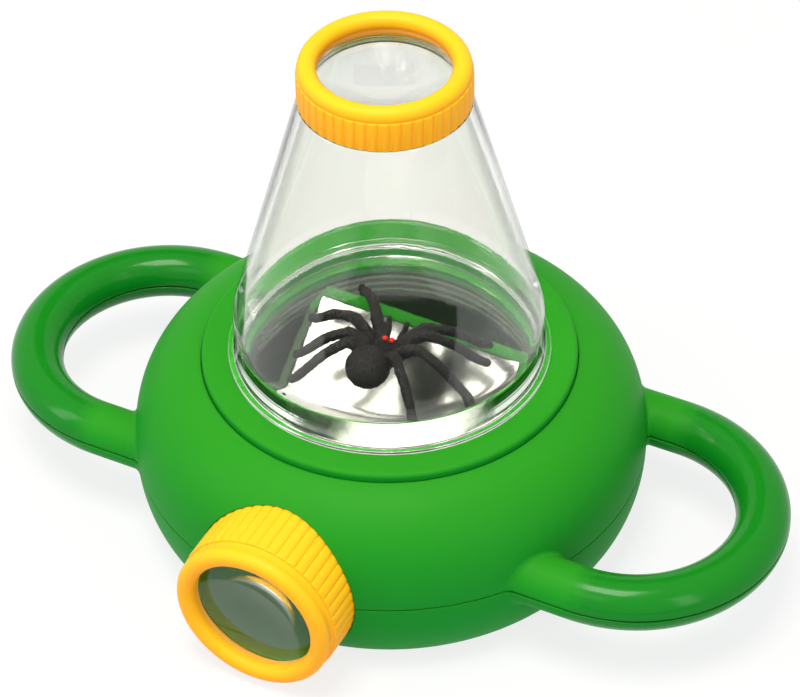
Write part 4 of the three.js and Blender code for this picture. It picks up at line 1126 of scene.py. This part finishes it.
def leg(bearing, share):
    """Leg that leaves the body at a bearing in degrees, rises to its knee and meets the floor."""
    reach = LEG_REACH * share
    x, y = math.cos(math.radians(bearing)), math.sin(math.radians(bearing))
    knee = KNEE_HEIGHT - BODY_HEIGHT
    sole = 1.3 - BODY_HEIGHT
    return limb("leg", [
        (2.5 * x, 2.5 * y, -0.4, 1.5), (0.24 * reach * x, 0.24 * reach * y, 0.62 * knee, 1.65),
        (0.36 * reach * x, 0.36 * reach * y, 0.97 * knee, 1.5),
        (0.44 * reach * x, 0.44 * reach * y, 0.93 * knee, 1.35),
        (0.66 * reach * x, 0.66 * reach * y, knee * 0.36, 1.3),
        (0.89 * reach * x, 0.89 * reach * y, sole * 0.66, 1.2), (reach * x, reach * y, sole, 1.12),
    ])


def palp(side):
    """Short feeler beside the head that points forwards and up."""
    return limb("palp", [(HEAD_REACH + 0.8, side * 1.3, 0.0, 0.9),
                         (HEAD_REACH + 4.0, side * 1.95, 2.4, 0.85),
                         (HEAD_REACH + 6.0, side * 2.5, 4.8, 0.7)])


spider_parts = [
    egg("front_body", (10, 9.4, 5), (0, 0, 0)), egg("abdomen", (11.4, 11, 10.6), (-6.3, 1.3, 0.6)),
    egg("head", (5.2, 5.2, 5.0), (HEAD_REACH, 0, HEAD_RISE)), palp(-1), palp(1),
    *[leg(*row) for row in RIGHT_LEGS + LEFT_LEGS],
]
print("spider parts:", len(spider_parts))

# %% Melt the spider into one skin
stand = (Matrix.Translation(Vector((*SPIDER_PLACE, FLOOR_TOP + BODY_HEIGHT)) * MM)
         @ Matrix.Rotation(math.radians(SPIDER_HEADING), 4, "Z"))


def melted(name, parts, voxel, relax):
    """One skin round all parts: joined, remeshed on a fine grid and relaxed."""
    whole = bmesh.new()
    for part in parts:
        whole.from_mesh(part.data)
        bpy.data.objects.remove(part)
    mesh = bpy.data.meshes.new(name)
    whole.to_mesh(mesh)
    whole.free()
    piece = bpy.data.objects.new(name, mesh)
    scene.collection.objects.link(piece)
    remesh = piece.modifiers.new("melt", "REMESH")
    remesh.mode = "VOXEL"
    remesh.voxel_size = voxel * MM
    soften = piece.modifiers.new("soften", "SMOOTH")
    soften.factor, soften.iterations = 0.5, relax
    depsgraph = bpy.context.evaluated_depsgraph_get()
    skin = bpy.data.meshes.new_from_object(piece.evaluated_get(depsgraph))
    piece.modifiers.clear()
    piece.data = skin
    return piece


WAVE_COUNT = 28


def roughened(piece, amount, grain, seed):
    """Moves each point along its normal by a fixed pattern of smooth random waves."""
    mesh = piece.data
    count = len(mesh.vertices)
    points = np.empty(count * 3)
    normals = np.empty(count * 3)
    mesh.vertices.foreach_get("co", points)
    mesh.vertices.foreach_get("normal", normals)
    points, normals = points.reshape(-1, 3), normals.reshape(-1, 3)
    chance = np.random.default_rng(seed)
    wave = np.zeros(count)
    for _ in range(WAVE_COUNT):
        pull = chance.normal(size=3)
        pull *= 2 * math.pi / (grain * MM * chance.uniform(0.6, 1.8) * np.linalg.norm(pull))
        wave += np.sin(points @ pull + chance.uniform(0, 2 * math.pi))
    points += normals * (wave / math.sqrt(WAVE_COUNT) * amount * MM)[:, None]
    mesh.vertices.foreach_set("co", points.ravel())
    mesh.update()
    return piece


spider = roughened(melted("spider", spider_parts, 0.34, 3), 0.12, 0.9, 7)
spider.data.transform(stand)
set_on(smoothed(spider, 180), "specimen", "toy_spider", material=DARK)

# %% Its eyes
EYE_BALL = 0.72
for name, side in (("eye_right", -1), ("eye_left", 1)):
    way = Vector((0.1, side * 0.26, 0.95)).normalized() * (2.6 + EYE_BALL + 0.25)
    ball = egg(name, (2 * EYE_BALL, 2 * EYE_BALL, 1.9 * EYE_BALL),
               (HEAD_REACH + way.x, way.y, HEAD_RISE + way.z), 12)
    ball.data.transform(stand)
    set_on(smoothed(ball, 180), "specimen", "toy_spider_" + name, material=RED)

# %% [markdown]
# ## Table, backdrop and light
# The photograph is a cut-out on pure white. The table stays a real surface that takes the
# viewer's shadow, and only camera, mirror and see-through rays meet its plain white. The world
# does the same: those rays see white, and the rest of the scene gets a dimmer, cooler fill.

# %% Floor
def seen_ray(tree):
    """Node that gives 1 for camera, mirror and see-through rays, and 0 for the rest."""
    path = tree.nodes.new("ShaderNodeLightPath")
    seen = maths(tree, "MAXIMUM", (path, "Is Camera Ray"), (path, "Is Glossy Ray"))
    return maths(tree, "MAXIMUM", (seen, "Value"), (path, "Is Transmission Ray"))


WHITE_SHARE = 0.8


def white_ground():
    """Matt white that keeps a soft shadow under its plain white."""
    material = bpy.data.materials.new("white_ground")
    material.use_nodes = True
    tree = material.node_tree
    matt = new_node(tree, "ShaderNodeBsdfDiffuse", Color=(0.9, 0.9, 0.9, 1))
    glow = tree.nodes.new("ShaderNodeEmission")
    share = maths(tree, "MULTIPLY", (seen_ray(tree), "Value"), WHITE_SHARE)
    mix = mixed_shader(tree, (share, "Value"), (matt, "BSDF"), (glow, "Emission"))
    feed(tree, tree.nodes["Material Output"], {"Surface": (mix, "Shader")})
    tree.nodes.remove(tree.nodes["Principled BSDF"])
    return material


GROUND_REACH = 3000
ground = make_piece("ground", [(x * GROUND_REACH, y * GROUND_REACH, 0)
                               for x, y in ((-1, -1), (1, -1), (1, 1), (-1, 1))], [(0, 1, 2, 3)])
ground.data.materials.append(white_ground())
print("ground:", 2 * GROUND_REACH, "mm square")

# %% World
world = bpy.data.worlds.new("studio")
scene.world = world
world.use_nodes = True
tree = world.node_tree
sky = tree.nodes["Background"]
feed(tree, sky, {"Color": (1, 1, 1, 1), "Strength": 1})
fill = new_node(tree, "ShaderNodeBackground", Color=(0.9, 0.98, 1.0, 1), Strength=0.46)
choice = mixed_shader(tree, (seen_ray(tree), "Value"), (fill, "Background"), (sky, "Background"))
feed(tree, tree.nodes["World Output"], {"Surface": (choice, "Shader")})
print("fill:", round(fill.inputs["Strength"].default_value, 2))

# %% Lamps
OBJECT_MIDDLE = (0, 0, 0.05)


def softbox(name, place, size, power, colour=(1, 1, 1)):
    """Rectangular lamp at a place in metres that faces the object."""
    data = bpy.data.lights.new(name, "AREA")
    data.shape = "RECTANGLE"
    data.size, data.size_y = size
    data.energy = power
    data.color = colour
    lamp = bpy.data.objects.new(name, data)
    lamp.location = place
    lamp.rotation_mode = "QUATERNION"
    lamp.rotation_quaternion = (Vector(place) - Vector(OBJECT_MIDDLE)).to_track_quat("Z", "Y")
    scene.collection.objects.link(lamp)
    print("lamp", name, power, "W")
    return lamp


softbox("overhead", (0.0, -0.25, 1.2), (0.45, 0.45), 10.5, (1, 0.97, 0.88))
softbox("left", (-0.9, -0.7, 0.7), (0.3, 0.8), 4.2, (1, 0.98, 0.94))
softbox("right", (1.0, -0.5, 0.6), (0.25, 0.8), 2.6, (1, 0.98, 0.94))
# A wide soft panel above the camera is what the mirror under the clear floor shows.
panel = softbox("panel", (-0.09, -0.78, 0.83), (0.5, 0.35), 1.05, (1, 1, 0.93))
panel.visible_diffuse = panel.visible_camera = False

# %% [markdown]
# A studio keeps white out of a glossy thing with black cards. One lies on the table in front of
# the viewer, where the photograph shows deep green on its front. Another, the flag, hangs behind,
# where the clear floor would mirror the bright room. Neither is seen from another side, nor does
# it dim the table: the felt is see-through until a ray has been mirrored at least once.

# %% Black card and flag
felt = plastic("black_felt", linear(16, 16, 16), linear(12, 12, 12), 0.95, peel=2000.0)
tree = felt.node_tree
path = tree.nodes.new("ShaderNodeLightPath")
see_through = tree.nodes.new("ShaderNodeBsdfTransparent")
choice = mixed_shader(tree, (path, "Glossy Depth"), (see_through, "BSDF"),
                      (tree.nodes["Principled BSDF"], "BSDF"))
feed(tree, tree.nodes["Material Output"], {"Surface": (choice, "Shader")})

card = slab("black_card", (-330, -760, 0.5), (330, -250, 2.5), 0.5)
card.data.transform(Matrix.Rotation(AZIMUTH, 4, "Z"))
FLAG_DISTANCE = 1.05
flag = slab("black_flag", (-260, -230, -2), (260, 230, 2), 0.5)
flag_way = Vector((-back.x, -back.y, back.z)).normalized()
flag.data.transform(Matrix.Translation(flag_way * FLAG_DISTANCE + Vector(OBJECT_MIDDLE))
                    @ flag_way.to_track_quat("Z", "Y").to_matrix().to_4x4())
for dark in (card, flag):
    dark.data.materials.append(felt)
    dark.visible_camera = dark.visible_diffuse = dark.visible_shadow = False
print("card and flag:", felt.name)

# %% [markdown]
# ## The colour view
# The picture's colours are shown with the Standard view transform.

# %% Standard view
scene.view_settings.view_transform = "Standard"
